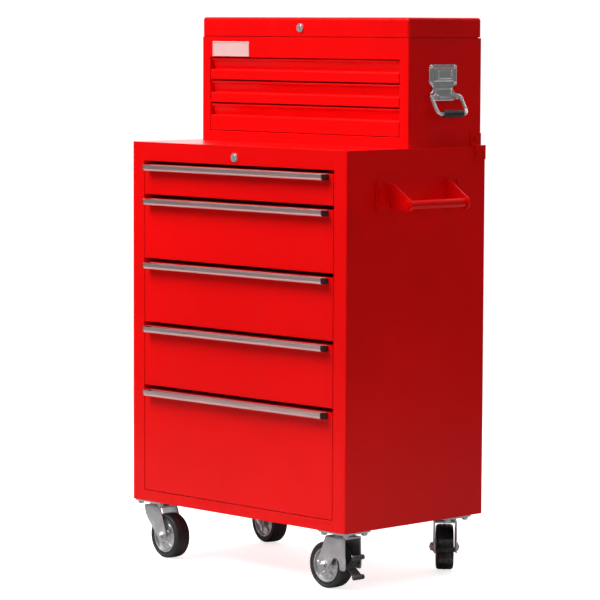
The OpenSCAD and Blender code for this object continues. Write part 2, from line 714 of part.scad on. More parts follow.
// Right-hand handle plate: raised upper boss, waist, and two lugs for the bail
module handle_plate() {
    side_plate(43, bail_pivot_z + 22, bail_pivot_z + 68, plate_t, 8);
    side_plate(31, bail_pivot_z - 8, bail_pivot_z + 40, plate_t, 6);
    side_plate(33, bail_pivot_z + 30, bail_pivot_z + 60, 6, 7);
    side_plate(22, bail_pivot_z + 36, bail_pivot_z + 54, 7.5, 6);
    side_plate(26, bail_pivot_z - 3, bail_pivot_z + 17, 3.5, 6);
    for (end = [-1, 1]) {
        for (z = [bail_pivot_z + 29, bail_pivot_z + 61])
            translate([chest_x, bail_y + end * 37.5, z]) rotate([0, 90, 0]) cylinder(r = 3, h = plate_t + 1.6);
        difference() {
            union() {
                span([chest_x, bail_y + end * (lug_half_gap + lug_t / 2) - lug_t / 2, bail_pivot_z - 8],
                     [chest_x + plate_t, bail_y + end * (lug_half_gap + lug_t / 2) + lug_t / 2, bail_pivot_z + 14]);
                span([chest_x, bail_y + end * (lug_half_gap + lug_t / 2) - lug_t / 2, bail_pivot_z - lug_r],
                     [chest_x + bail_pivot_out, bail_y + end * (lug_half_gap + lug_t / 2) + lug_t / 2,
                      bail_pivot_z + lug_r]);
                translate([chest_x + bail_pivot_out, bail_y + end * (lug_half_gap + lug_t / 2), bail_pivot_z])
                    rotate([90, 0, 0]) cylinder(r = lug_r, h = lug_t, center = true);
                span([chest_x, bail_y + end * (lug_half_gap - 2) - 3, bail_pivot_z - 8],
                     [chest_x + plate_t, bail_y + end * (lug_half_gap - 2) + 3, bail_pivot_z + 14]);
            }
            translate([chest_x + bail_pivot_out, bail_y, bail_pivot_z]) rotate([90, 0, 0])
                cylinder(r = bail_pin_r + running, h = 2 * (lug_half_gap + lug_t + past), center = true);
        }
    }
}

module chest_handle_plate_right() color(chrome) place() handle_plate();

module chest_handle_plate_left() color(chrome) place() mirror([1, 0, 0]) handle_plate();

// Turns a hanging piece about the bail's pivot, outwards to where the bail rests
module leaned()
    translate([chest_x + bail_pivot_out, 0, bail_pivot_z]) rotate([0, -bail_lean, 0])
        translate([-chest_x - bail_pivot_out, 0, -bail_pivot_z]) children();

// Right-hand bail, drawn hanging: two pins, two arms, two bends and a cross bar
module bail() {
    bar_z = bail_pivot_z - bail_drop;
    leaned() translate([chest_x + bail_pivot_out, bail_y, 0]) {
        for (end = [-1, 1]) {
            translate([0, end * bail_half_w, bail_pivot_z]) rotate([90 * end, 0, 0])
                cylinder(r = bail_pin_r, h = bail_half_w - lug_half_gap + 1);
            translate([0, end * bail_half_w, bail_pivot_z]) sphere(r = bail_r);
            translate([0, end * bail_half_w, bar_z + bail_corner_r])
                cylinder(r = bail_r, h = bail_drop - bail_corner_r);
            translate([0, end * (bail_half_w - bail_corner_r), bar_z + bail_corner_r])
                rotate([0, 90, 0]) rotate([0, 0, end > 0 ? 0 : -90])
                    rotate_extrude(angle = 90) translate([bail_corner_r, 0]) circle(r = bail_r);
        }
        translate([0, 0, bar_z]) rotate([90, 0, 0])
            cylinder(r = bail_r, h = 2 * (bail_half_w - bail_corner_r), center = true);
    }
}

module chest_bail_right() color(chrome) place() bail();

module chest_bail_left() color(chrome) place() mirror([1, 0, 0]) bail();

module bail_grip()
    leaned() translate([chest_x + bail_pivot_out, bail_y, bail_pivot_z - bail_drop]) rotate([90, 0, 0])
        difference() {
            cylinder(r = grip_r, h = 2 * grip_half_w, center = true);
            cylinder(r = bail_r + running, h = 2 * grip_half_w + 2 * past, center = true);
        }

module bail_grip_right() color(black) place() bail_grip();

module bail_grip_left() color(black) place() mirror([1, 0, 0]) bail_grip();

// ---------------------------------------------------------------- casters

module caster_plates() color(zinc) place() {
    difference() {
        for (c = caster_at)
            translate([c[0], c[1], 0])
                upright_plate();
        caster_bolt_holes(cab_z0 - plate_z - past, cab_z0 + past);
    }
    for (c = caster_at)
        translate([c[0], c[1], 0]) {
            translate([0, 0, cab_z0 - plate_z - race_h]) cylinder(r = race_r, h = race_h + embed);
            translate([0, 0, fork_top_z - fork_crown_t - side_play - kingpin_head_h]) {
                cylinder(r = kingpin_r, h = fork_crown_t + race_h + 2 * side_play + kingpin_head_h);
                cylinder(r = kingpin_head_r, h = kingpin_head_h);
            }
        }
}

module upright_plate() {
    span([-plate_x / 2, -plate_y / 2, cab_z0 - plate_z], [plate_x / 2, plate_y / 2, cab_z0]);
}

// Moves a caster drawn about its swivel axis, wheel trailing towards +x, to its corner
module at_caster(n) {
    place() translate([caster_at[n][0], caster_at[n][1], 0]) rotate([0, 0, caster_turn[n]]) children();
}

module caster_fork(braked) {
    crown_z0 = fork_top_z - fork_crown_t;
    leg_out = leg_gap + fork_t;
    brake_edge = pedal_x - 9;
    difference() {
        union() {
            span([-25, -leg_out, crown_z0], [29, leg_out, crown_z0 + fork_crown_t - fork_race_h]);
            translate([0, 0, crown_z0]) cylinder(r = race_r + 2, h = fork_crown_t);
            for (side = [-1, 1])
                translate([0, side > 0 ? leg_out : -leg_gap, 0]) rotate([90, 0, 0]) linear_extrude(fork_t)
                    polygon(braked ? [
                        [-25, crown_z0 + 2], [29, crown_z0 + 2], [caster_trail + 14, wheel_r + 10],
                        [caster_trail + 12, wheel_r - 8], [caster_trail, wheel_r - 13],
                        [caster_trail - 12, wheel_r - 8], [2, wheel_r + 20], [pedal_x + 8, pedal_z - 8],
                        [brake_edge, pedal_z - 8]
                    ] : [
                        [-25, crown_z0 + 2], [29, crown_z0 + 2], [caster_trail + 14, wheel_r + 10],
                        [caster_trail + 12, wheel_r - 8], [caster_trail, wheel_r - 13],
                        [caster_trail - 12, wheel_r - 8], [-18, crown_z0 - 22]
                    ]);
            translate([caster_trail, 0, wheel_r]) rotate([90, 0, 0]) {
                cylinder(r = axle_r, h = 2 * (leg_out + axle_nut_h + 2), center = true);
                for (side = [-1, 1])
                    translate([0, 0, side * (leg_out + axle_nut_h / 2)])
                        cylinder(r = axle_nut_r, h = axle_nut_h, center = true, $fn = 6);
            }
            if (braked)
                translate([pedal_x, 0, pedal_z]) rotate([90, 0, 0])
                    cylinder(r = pedal_pin_r, h = 2 * (leg_out + 2), center = true);
        }
        translate([0, 0, crown_z0 - past]) cylinder(r = kingpin_r + running, h = fork_crown_t + 2 * past);
    }
}

module caster_fork_fl() color(zinc) at_caster(0) caster_fork(false);
module caster_fork_fr() color(zinc) at_caster(1) caster_fork(true);
module caster_fork_rl() color(zinc) at_caster(2) caster_fork(false);
module caster_fork_rr() color(zinc) at_caster(3) caster_fork(true);

// Wheel hub: a dished disc with a boss that runs on the axle
module caster_hub()
    translate([caster_trail, 0, wheel_r]) rotate([90, 0, 0])
        difference() {
            union() {
                cylinder(r = hub_r, h = hub_w, center = true);
                cylinder(r = hub_boss_r, h = 2 * (leg_gap - 1), center = true);
            }
            cylinder(r = axle_r + running, h = 3 * tyre_w, center = true);
            for (side = [-1, 1])
                translate([0, 0, side * (hub_w / 2 - 1.5)]) difference() {
                    cylinder(r = hub_r - 4, h = 3 + side_play, center = true);
                    cylinder(r = hub_boss_r + 3, h = 4 + side_play, center = true);
                }
        }

module caster_hub_fl() color(hub_grey) at_caster(0) caster_hub();
module caster_hub_fr() color(hub_grey) at_caster(1) caster_hub();
module caster_hub_rl() color(hub_grey) at_caster(2) caster_hub();
module caster_hub_rr() color(hub_grey) at_caster(3) caster_hub();

// Tyre: a ring with rounded shoulders
module caster_tyre()
    translate([caster_trail, 0, wheel_r]) rotate([90, 0, 0])
        difference() {
            union() {
                cylinder(r = wheel_r, h = tyre_w - 2 * tyre_shoulder, center = true);
                cylinder(r = wheel_r - tyre_shoulder, h = tyre_w, center = true);
                for (side = [-1, 1])
                    translate([0, 0, side * (tyre_w / 2 - tyre_shoulder)])
                        rotate_extrude() translate([wheel_r - tyre_shoulder, 0]) circle(r = tyre_shoulder, $fn = 24);
            }
            cylinder(r = hub_r, h = 2 * tyre_w, center = true);
        }

module caster_tyre_fl() color(black) at_caster(0) caster_tyre();
module caster_tyre_fr() color(black) at_caster(1) caster_tyre();
module caster_tyre_rl() color(black) at_caster(2) caster_tyre();
module caster_tyre_rr() color(black) at_caster(3) caster_tyre();

// Brake pedal: a two-lobed rocker on a pin through the fork, ahead of the wheel
module brake_pedal()
    translate([pedal_x, 0, pedal_z]) rotate([90, 0, 0])
        difference() {
            union() {
                cylinder(r = pedal_hub_r, h = 2 * pedal_half_w, center = true);
                for (way = [-1, 1]) {
                    rotate([0, 0, 180 - way * atan2(lobe_spread, lobe_out)])
                        span([0, -2, -lobe_half_w + 3], [norm([lobe_out, lobe_spread]), 2, lobe_half_w - 3]);
                    translate([-lobe_out, way * lobe_spread, 0])
                        cylinder(r = lobe_r, h = 2 * lobe_half_w, center = true);
                }
            }
            cylinder(r = pedal_pin_r + running, h = 4 * pedal_half_w, center = true);
        }

module brake_pedal_fr() color(black) at_caster(1) brake_pedal();
module brake_pedal_rr() color(black) at_caster(3) brake_pedal();

// ---------------------------------------------------------------- output

cabinet_shell();
cabinet_top();
cabinet_floor();
cabinet_slide_outers();
side_handle_bracket_front();
side_handle_bracket_rear();
side_handle_bar();
fixing_bolts();
cabinet_lock_barrel();
cabinet_lock_plug();
caster_plates();
cabinet_drawer_1();
cabinet_drawer_2();
cabinet_drawer_3();
cabinet_drawer_4();
cabinet_drawer_5();
cabinet_pull_1();
cabinet_pull_2();
cabinet_pull_3();
cabinet_pull_4();
cabinet_pull_5();
slide_middle_1();
slide_middle_2();
slide_middle_3();
slide_middle_4();
slide_middle_5();
chest_shell();
chest_floor();
chest_deck();
chest_runners();
chest_drawer_1();
chest_drawer_2();
chest_drawer_3();
chest_lid();
lid_hinge_lower();
lid_hinge_upper();
lid_lock_barrel();
lid_lock_plug();
badge_plate();
tie_brackets();
chest_handle_plate_left();
chest_handle_plate_right();
chest_bail_left();
chest_bail_right();
bail_grip_left();
bail_grip_right();
caster_fork_fl();
caster_fork_fr();
caster_fork_rl();
caster_fork_rr();
caster_hub_fl();
caster_hub_fr();
caster_hub_rl();
caster_hub_rr();
caster_tyre_fl();
caster_tyre_fr();
caster_tyre_rl();
caster_tyre_rr();
brake_pedal_fr();
brake_pedal_rr();
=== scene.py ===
"""Looks of a rolling tool chest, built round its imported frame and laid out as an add-on that runs as a script."""

import json
import math

import bmesh
import bpy
import numpy as np
from mathutils import Matrix, Vector


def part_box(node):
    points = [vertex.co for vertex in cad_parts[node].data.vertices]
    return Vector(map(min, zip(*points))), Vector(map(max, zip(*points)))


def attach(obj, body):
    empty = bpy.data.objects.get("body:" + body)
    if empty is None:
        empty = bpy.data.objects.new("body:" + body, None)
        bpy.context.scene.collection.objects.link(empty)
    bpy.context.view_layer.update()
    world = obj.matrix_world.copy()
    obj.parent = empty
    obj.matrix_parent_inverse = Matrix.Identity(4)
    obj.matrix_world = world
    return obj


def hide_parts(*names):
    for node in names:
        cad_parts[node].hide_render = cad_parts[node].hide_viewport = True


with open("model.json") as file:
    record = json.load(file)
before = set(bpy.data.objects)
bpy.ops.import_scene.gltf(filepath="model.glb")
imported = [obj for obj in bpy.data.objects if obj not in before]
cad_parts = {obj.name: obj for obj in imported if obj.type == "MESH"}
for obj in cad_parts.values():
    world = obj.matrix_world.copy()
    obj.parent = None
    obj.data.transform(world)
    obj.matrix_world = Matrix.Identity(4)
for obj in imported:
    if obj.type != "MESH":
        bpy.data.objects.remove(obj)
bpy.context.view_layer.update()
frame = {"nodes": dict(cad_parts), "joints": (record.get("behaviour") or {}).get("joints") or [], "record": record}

bl_info = {
    "name": "Rolling Tool Chest",
    "version": (1, 0, 0),
    "blender": (4, 5, 0),
    "location": "View3D > Sidebar > Tool Chest",
    "description": "Detail pieces, finishes and studio for a rolling tool chest",
    "category": "Object",
}

MM = 0.001
CORNERS = ("fl", "fr", "rl", "rr")
BRAKED = ("fr", "rr")
DRAWERS = (1, 2, 3, 4, 5)
NODES = frame["nodes"]
JOINTS = {joint["name"]: joint for joint in frame["joints"]}


def extent(node):
    """Lowest and highest corner of a CAD node, as arrays in millimetres."""
    low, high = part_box(node)
    return np.array(low) / MM, np.array(high) / MM


TYRE_BOX = extent("caster_tyre_fl")
WHEEL_RADIUS = (TYRE_BOX[1][2] - TYRE_BOX[0][2]) / 2
HUB_BOX = extent("caster_hub_fl")
HUB_RADIUS = (HUB_BOX[1][2] - HUB_BOX[0][2]) / 2
TYRE_WIDTH = 38.0
HUB_WIDTH = TYRE_WIDTH - 3
AXLE_BORE = 5.1             # radius of the hub's bore
LEG_GAP = 22.0              # from the wheel's middle to the inside of a fork leg
BRAKE_PIN_OUT = 7           # how far the brake's pin lies clear of the tyre
BRAKE_PIN_RISE = 3          # and above the axle
BRAKE_HALF_WIDTH = 21.0     # of the rocker's hub
BAIL_PIN_OUT = 9.0          # from the chest's side to the bail's pins
BAIL_BORE = 3.86            # radius of the grip's bore
LUG_MIDDLE = 33.5           # from the middle of a handle plate to the middle of a lug
RIVET_MIDDLE = 36.5
LID_LIP_METAL = 1.0
LID_LIP_STOP = 8            # how far the lip ends short of the chest's back
FLOOR_RADIUS = 9.0
PAPER_FADE = (1.6, 3.2)     # radii in metres between which the floor is lost in the surround
SURROUND = (0.08, 1.05, 1.8)            # strengths: for other light, for the camera, and behind the chest
WORLD_PATCH = (-0.715, 0.692, 0.10)     # towards the bright patch behind the chest

# Softboxes: name, place, target and size in metres, and the setting that holds the power
SOFTBOXES = (
    ("key", (-1.5, -3.2, 4.5), (0, 0, 0.55), 3.0, "key_power"),
    ("top", (0.4, -0.4, 5.0), (0, 0, 0), 5.0, "top_power"),
    ("side", (5.4, -0.6, 2.6), (0, 0, 0.6), 3.0, "side_power"),
    ("fill_rear", (1.5, 5.5, 2.6), (0, 0, 0.6), 3.0, "fill_power"),
)


# ---------------------------------------------------------------- settings

class ToolChestFinish(bpy.types.PropertyGroup):
    """Colours and depths of the finishes."""
    paint: bpy.props.FloatVectorProperty(
        name="Paint", description="Colour of the powder coat", subtype="COLOR", size=3, min=0, max=1,
        default=(0.86, 0.0020, 0.0025))
    paint_roughness: bpy.props.FloatProperty(
        name="Paint roughness", description="Roughness of clean powder coat", subtype="FACTOR", default=0.27)
    peel_depth: bpy.props.FloatProperty(
        name="Orange peel depth", description="Height of the ripple in the powder coat",
        subtype="DISTANCE", unit="LENGTH", default=0.00010)
    alloy: bpy.props.FloatVectorProperty(
        name="Pull alloy", description="Colour of the anodised pulls", subtype="COLOR", size=3, min=0, max=1,
        default=(0.84, 0.60, 0.59))
    rubber: bpy.props.FloatVectorProperty(
        name="Rubber", description="Colour of the tyres", subtype="COLOR", size=3, min=0, max=1,
        default=(0.020, 0.021, 0.022))
    edge_radius: bpy.props.FloatProperty(
        name="Edge radius", description="Radius that folded sheet edges appear to have",
        subtype="DISTANCE", unit="LENGTH", default=0.0011)


class ToolChestWheels(bpy.types.PropertyGroup):
    """Sizes of the caster wheels, forks and brakes, in millimetres."""
    shoulder: bpy.props.FloatProperty(
        name="Tyre shoulder", description="Radius of the tyre's shoulders", default=6.5)
    groove: bpy.props.FloatProperty(
        name="Tread groove", description="Depth of the two grooves round the tread", default=0.9)
    ribs: bpy.props.IntProperty(name="Hub ribs", description="Ribs pressed into each hub face", default=6)
    dish: bpy.props.FloatProperty(
        name="Hub dish", description="Depth of the dish between rim and boss", default=5.0)
    leg_metal: bpy.props.FloatProperty(name="Fork metal", description="Thickness of a fork leg", default=3.0)


class ToolChestHandles(bpy.types.PropertyGroup):
    """Sizes of the chest handles and of the pulls' end caps, in millimetres."""
    boss: bpy.props.FloatProperty(name="Boss", description="Height of the embossed panel", default=6.0)
    dome: bpy.props.FloatProperty(name="Dome", description="Height of the lower swelling", default=3.5)
    grip_ribs: bpy.props.IntProperty(name="Grip ribs", description="Ribs round a bail's grip", default=13)
    cap: bpy.props.FloatProperty(name="Cap", description="Thickness of a pull's end cap", default=3.0)
    lip_inset: bpy.props.FloatProperty(
        name="Lip inset", description="Distance of the lid's inner lip from the chest's sides", default=2.6)
    lip_height: bpy.props.FloatProperty(
        name="Lip height", description="How far the lip stands up inside the lid", default=5.0)


class ToolChestStage(bpy.types.PropertyGroup):
    """Camera, floor and lights."""
    yaw: bpy.props.FloatProperty(
        name="Yaw", description="Camera direction round the chest", subtype="ANGLE", unit="ROTATION",
        default=math.radians(45.95))
    pitch: bpy.props.FloatProperty(
        name="Pitch", description="How far the camera looks down", subtype="ANGLE", unit="ROTATION",
        default=math.radians(5.10))
    roll: bpy.props.FloatProperty(
        name="Roll", description="Roll of the camera", subtype="ANGLE", unit="ROTATION",
        default=math.radians(0.23))
    place: bpy.props.FloatVectorProperty(
        name="Camera place", description="Where the camera stands", subtype="TRANSLATION", unit="LENGTH",
        size=3, default=(4.82435, -4.7007, 1.1854))
    lens: bpy.props.FloatProperty(
        name="Lens", description="Focal length in millimetres on a 36 mm sensor", default=185.64)
    key_power: bpy.props.FloatProperty(
        name="Key", description="Power of the front softbox", subtype="POWER", unit="POWER", default=310.0)
    top_power: bpy.props.FloatProperty(
        name="Top", description="Power of the overhead softbox", subtype="POWER", unit="POWER", default=110.0)
    side_power: bpy.props.FloatProperty(
        name="Side", description="Power of the softbox at the right", subtype="POWER", unit="POWER", default=22.0)
    fill_power: bpy.props.FloatProperty(
        name="Fill", description="Power of the fill behind", subtype="POWER", unit="POWER", default=40.0)
    floor: bpy.props.FloatVectorProperty(
        name="Floor", description="Colour of the floor", subtype="COLOR", size=3, min=0, max=1,
        default=(0.90, 0.90, 0.90))
    glow: bpy.props.FloatProperty(
        name="Floor glow", description="Light given off by the floor, which washes out shadows", default=0.75)


# ---------------------------------------------------------------- surfaces

def grid_quads(rows, columns, close_rows, close_columns):
    """Quads of a grid of points. Point (i, j) has number i * columns + j, and a closed way wraps round."""
    i = np.arange(rows if close_rows else rows - 1)
    j = np.arange(columns if close_columns else columns - 1)
    i, j = (a.ravel() for a in np.meshgrid(i, j, indexing="ij"))
    i2, j2 = (i + 1) % rows, (j + 1) % columns
    return np.stack([i * columns + j, i2 * columns + j, i2 * columns + j2, i * columns + j2], 1)


class Surface:
    """A grid of points in millimetres, closed along its rows, its columns or both, with or without end faces."""

    def __init__(self, points, close_rows=False, close_columns=False, ends=False):
        self.points = np.asarray(points, float)
        self.close_rows, self.close_columns, self.ends = close_rows, close_columns, ends

    def moved(self, origin, along_x, along_y, along_z):
        """The same surface set down at origin, with its three axes turned to those directions."""
        axes = np.array([along_x, along_y, along_z], float)
        return Surface(self.points @ axes + np.array(origin, float), self.close_rows, self.close_columns, self.ends)

    def faces(self):
        """Lists of point numbers: the quads and, where asked, one face over each end loop."""
        rows, columns = self.points.shape[:2]
        found = grid_quads(rows, columns, self.close_rows, self.close_columns).tolist()
        if self.ends:
            found += [list(range(columns))[::-1], list(range((rows - 1) * columns, rows * columns))]
        return found


def make_piece(name, surfaces, material, body, replaces=(), sharp=32.0):
    """Joins surfaces into one mesh object in metres, merges poles and seams, and turns every face outwards."""
    points, faces, start = [], [], 0
    for surface in surfaces:
        flat = surface.points.reshape(-1, 3)
        points.append(flat)
        faces += [[start + k for k in face] for face in surface.faces()]
        start += len(flat)
    mesh = bpy.data.meshes.new(name)
    mesh.from_pydata((np.concatenate(points) * MM).tolist(), [], faces)
    work = bmesh.new()
    work.from_mesh(mesh)
    bmesh.ops.remove_doubles(work, verts=work.verts, dist=1e-6)
    bmesh.ops.recalc_face_normals(work, faces=work.faces)
    work.to_mesh(mesh)
    work.free()
    mesh.polygons.foreach_set("use_smooth", np.ones(len(mesh.polygons), bool))
    mesh.set_sharp_from_angle(angle=math.radians(sharp))
    mesh.materials.append(material)
    piece = bpy.data.objects.new(name, mesh)
    bpy.context.scene.collection.objects.link(piece)
    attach(piece, body)
    if replaces:
        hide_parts(*replaces)
    return piece


def turned(profile, steps=96, closed=False, radius=None):
    """Surface of revolution about z: point (r, h) of the profile goes to (r k cos t, r k sin t, h) for t round
    the circle. k is 1, or radius(t) where the section isn't round."""
    t = np.linspace(0, 2 * np.pi, steps, endpoint=False)
    k = np.ones(steps) if radius is None else radius(t)
    r, h = np.array(profile, float).T
    x, y = r[:, None] * (k * np.cos(t)), r[:, None] * (k * np.sin(t))
    return Surface(np.stack([x, y, np.repeat(h[:, None], steps, 1)], 2), closed, True)


def hexagon(t):
    """Radius of a hexagon of unit half width in the direction t: 1 / cos of the angle to the nearest flat."""
    return 1 / np.cos((t + np.pi / 6) % (np.pi / 3) - np.pi / 6)


def rounded_loop(corners, cuts, steps=7):
    """A closed plane loop: each corner is replaced by a quadratic curve that starts and ends a cut from it."""
    corners = np.array(corners, float)
    cuts = np.broadcast_to(np.array(cuts, float), len(corners))[:, None]
    before, after = np.roll(corners, 1, 0) - corners, np.roll(corners, -1, 0) - corners
    a = corners + before / np.linalg.norm(before, axis=1)[:, None] * cuts
    b = corners + after / np.linalg.norm(after, axis=1)[:, None] * cuts
    t = np.linspace(0, 1, steps)[None, :, None]
    loop = ((1 - t) ** 2 * a[:, None] + 2 * t * (1 - t) * corners[:, None] + t ** 2 * b[:, None]).reshape(-1, 2)
    area = np.sum(loop[:, 0] * np.roll(loop[:, 1], -1) - loop[:, 1] * np.roll(loop[:, 0], -1))
    return loop if area > 0 else loop[::-1]


def inset_loop(loop, inset):
    """Moves each point of an anticlockwise loop inwards along the mean normal of its two sides."""
    ahead = np.roll(loop, -1, 0) - loop
    behind = loop - np.roll(loop, 1, 0)
    unit = [v / np.maximum(np.linalg.norm(v, axis=1), 1e-9)[:, None] for v in (ahead, behind)]
    along = unit[0] + unit[1]
    along /= np.maximum(np.linalg.norm(along, axis=1), 1e-9)[:, None]
    return loop + inset * np.stack([-along[:, 1], along[:, 0]], 1)


def slab(loop, low, high, edge, steps=4):
    """A plate from a plane loop, from height low to high, whose two rims are quarter rounds of radius edge:
    at angle a of the round the loop is inset by edge (1 - sin a) and stands edge (1 - cos a) inside the face."""
    a = np.linspace(0, np.pi / 2, steps)
    inset = edge * (1 - np.sin(a))
    lift = edge * (1 - np.cos(a))
    rows = [(i, low + d) for i, d in zip(inset, lift)] + [(i, high - d) for i, d in zip(inset[::-1], lift[::-1])]
    grid = [np.column_stack([inset_loop(loop, i), np.full(len(loop), h)]) for i, h in rows]
    return Surface(np.array(grid), False, True, True)


def carried(section, path, across):
    """A closed section (u, v) carried along a path of points: u runs along across and v along the cross product
    of the path's direction and across."""
    path, across = np.array(path, float), np.array(across, float)
    along = np.gradient(path, axis=0)
    along /= np.linalg.norm(along, axis=1)[:, None]
    side = np.broadcast_to(across, path.shape)
    up = np.cross(along, side)
    section = np.array(section, float)
    if section.ndim == 2:
        section = np.broadcast_to(section, (len(path),) + section.shape)
    grid = path[:, None] + section[..., :1] * side[:, None] + section[..., 1:] * up[:, None]
    return Surface(grid, False, True, True)


def soft_step(low, high, x):
    """0 below low, 1 above high, and 3 s^2 - 2 s^3 between."""
    s = np.clip((x - low) / (high - low), 0, 1)
    return s * s * (3 - 2 * s)


# ---------------------------------------------------------------- shader arithmetic

class Value:
    """A node output in an expression. Each operator adds one Math node to its graph."""

    def __init__(self, graph, socket):
        self.graph, self.socket = graph, socket

    def math(self, operation, *others):
        links = {i: v for i, v in enumerate((self,) + others)}
        return self.graph.add("Math", {"operation": operation}, links)

    def __add__(self, other):
        return self.math("ADD", other)

    def __sub__(self, other):
        return self.math("SUBTRACT", other)

    def __rsub__(self, other):
        return self.graph.add("Math", {"operation": "SUBTRACT"}, {0: other, 1: self})

    def __mul__(self, other):
        return self.math("MULTIPLY", other)

    __radd__ = __add__
    __rmul__ = __mul__

    def between(self, low, high):
        """Smooth step from 0 at low to 1 at high."""
        return self.graph.add("MapRange", {"interpolation_type": "SMOOTHSTEP"},
                              {"Value": self, "From Min": low, "From Max": high})


class Graph:
    """The nodes of one material, or of another node tree."""

    def __init__(self, tree):
        self.tree = tree
        tree.nodes.clear()

    def add(self, kind, settings=None, links=None, out=0):
        """Adds a node of a type, makes its settings, then sets or links its sockets, and returns one output."""
        node = self.tree.nodes.new("ShaderNode" + kind)
        for key, value in (settings or {}).items():
            if key == "stops":
                for element, (at, colour) in zip(node.color_ramp.elements, value):
                    element.position, element.color = at, (*colour, 1)
            else:
                setattr(node, key, value)
        for key, value in (links or {}).items():
            if isinstance(value, Value):
                self.tree.links.new(value.socket, node.inputs[key])
            else:
                node.inputs[key].default_value = value
        return Value(self, node.outputs[out]) if len(node.outputs) else None

    def place(self, scale=(1, 1, 1)):
        """Object coordinates in metres, stretched by scale."""
        coords = self.add("TexCoord", out=3)
        return self.add("Mapping", {}, {"Vector": coords, "Scale": scale})

    def noise(self, scale, detail=2.0, rough=0.5, stretch=(1, 1, 1), twist=0.0):
        return self.add("TexNoise", {}, {"Vector": self.place(stretch), "Scale": scale, "Detail": detail,
                                         "Roughness": rough, "Distortion": twist})

    def cells(self, scale):
        return self.add("TexVoronoi", {}, {"Vector": self.place(), "Scale": scale})

    def mix(self, share, a, b):
        """Colour a where share is 0, colour b where it is 1."""
        return self.add("Mix", {"data_type": "RGBA"}, {0: share, 6: a, 7: b}, out=2)

    def bump(self, height, depth, normal=None):
        links = {"Height": height, "Distance": depth, "Strength": 1.0}
        if normal is not None:
            links["Normal"] = normal
        return self.add("Bump", {}, links)

    def edge(self, radius):
        """The rounded normal near an edge, and how far it leans away from the face's own normal."""
        rounded = self.add("Bevel", {"samples": 4}, {"Radius": radius})
        own = self.add("NewGeometry", out=1)
        dot = self.add("VectorMath", {"operation": "DOT_PRODUCT"}, {0: rounded, 1: own}, out=1)
        return rounded, (1.0 - dot).between(0.01, 0.22)

    def finish(self, links):
        """Adds the surface shader and the material's output."""
        surface = self.add("BsdfPrincipled", {}, links)
        self.add("OutputMaterial", {}, {"Surface": surface})


def rgba(colour, share=1.0):
    return tuple(min(1.0, c * share) for c in colour) + (1.0,)


def new_graph(name, colour):
    material = bpy.data.materials.new(name)
    material.use_nodes = True
    material.diffuse_color = rgba(colour)
    return material, Graph(material.node_tree)


def red_paint(look):
    """Gloss powder coat: a fine ripple, slow changes of shade, faint wiping marks, and folds that are slightly worn
    and carry a painted highlight.
    """
    material, g = new_graph("red_paint", look.paint)
    # In this paint the edge mask carries both real wear and a painted highlight on the folds.
    rounded, worn = g.edge(look.edge_radius)
    cloud = g.noise(2.6, 3.0)
    peel = g.noise(430.0, 2.0, 0.55)
    fleck = g.noise(90.0, 3.0, 0.6)
    wiped = g.noise(7.0, 4.0, 0.6, (1.0, 1.0, 0.28), 0.6).between(0.5, 0.78)
    shade = g.mix(cloud.between(0.3, 0.7), rgba(look.paint, 0.93), rgba(look.paint, 1.05))
    shade = g.mix(fleck.between(0.55, 0.8) * 0.20, shade, rgba(look.paint, 0.80))
    # Lighter, pinker red along the folded edges: partly paint rubbed thin, partly a painted highlight. It also
    # roughens those edges.
    worn_and_highlit_edge = worn * fleck.between(0.42, 0.62)
    shade = g.mix(worn_and_highlit_edge * 0.30, shade, (0.78, 0.10, 0.075, 1.0))
    rough = look.paint_roughness + wiped * 0.08 + worn_and_highlit_edge * 0.12 + fleck * 0.03
    normal = g.bump(peel, look.peel_depth, rounded)
    g.finish({"Base Color": shade, "Roughness": rough, "Normal": normal,
              "Specular IOR Level": 0.13, "Coat Weight": 0.03, "Coat Roughness": 0.10})
    return material


def zinc_plate(look):
    """Bright zinc on pressed steel: spangled shade, rolling marks along the metal and dull worn edges."""
    base = (0.62, 0.63, 0.65)
    material, g = new_graph("zinc_plate", base)
    rounded, worn = g.edge(look.edge_radius * 0.8)
    spangle = g.cells(160.0)
    film = g.noise(34.0, 4.0, 0.6, (1, 1, 1), 0.4)
    rolled = g.noise(60.0, 3.0, 0.6, (8.0, 8.0, 0.7))
    shade = g.mix(film.between(0.35, 0.7), rgba(base, 0.82), (0.70, 0.71, 0.715, 1.0))
    shade = g.mix(spangle.between(0.2, 0.9) * 0.18, shade, (0.50, 0.515, 0.54, 1.0))
    shade = g.mix(worn * 0.45, shade, (0.86, 0.87, 0.88, 1.0))
    rough = 0.30 + film * 0.16 + rolled * 0.08
    normal = g.bump(rolled * 0.6 + film * 0.4, 0.00008, rounded)
    g.finish({"Base Color": shade, "Metallic": 1.0, "Roughness": rough, "Normal": normal})
    return material


def chrome(look):
    """Polished chrome over pressed steel, with a slow waviness and faint handling haze."""
    base = (0.84, 0.85, 0.86)
    material, g = new_graph("chrome", base)
    rounded, worn = g.edge(look.edge_radius * 0.7)
    haze = g.noise(60.0, 4.0, 0.6).between(0.45, 0.8)
    wave = g.noise(45.0, 1.0)
    shade = g.mix(haze * 0.4, rgba(base), rgba(base, 0.78))
    g.finish({"Base Color": shade, "Metallic": 0.72, "Roughness": 0.18 + haze * 0.14 + worn * 0.05,
              "Normal": g.bump(wave, 0.00022, rounded)})
    return material


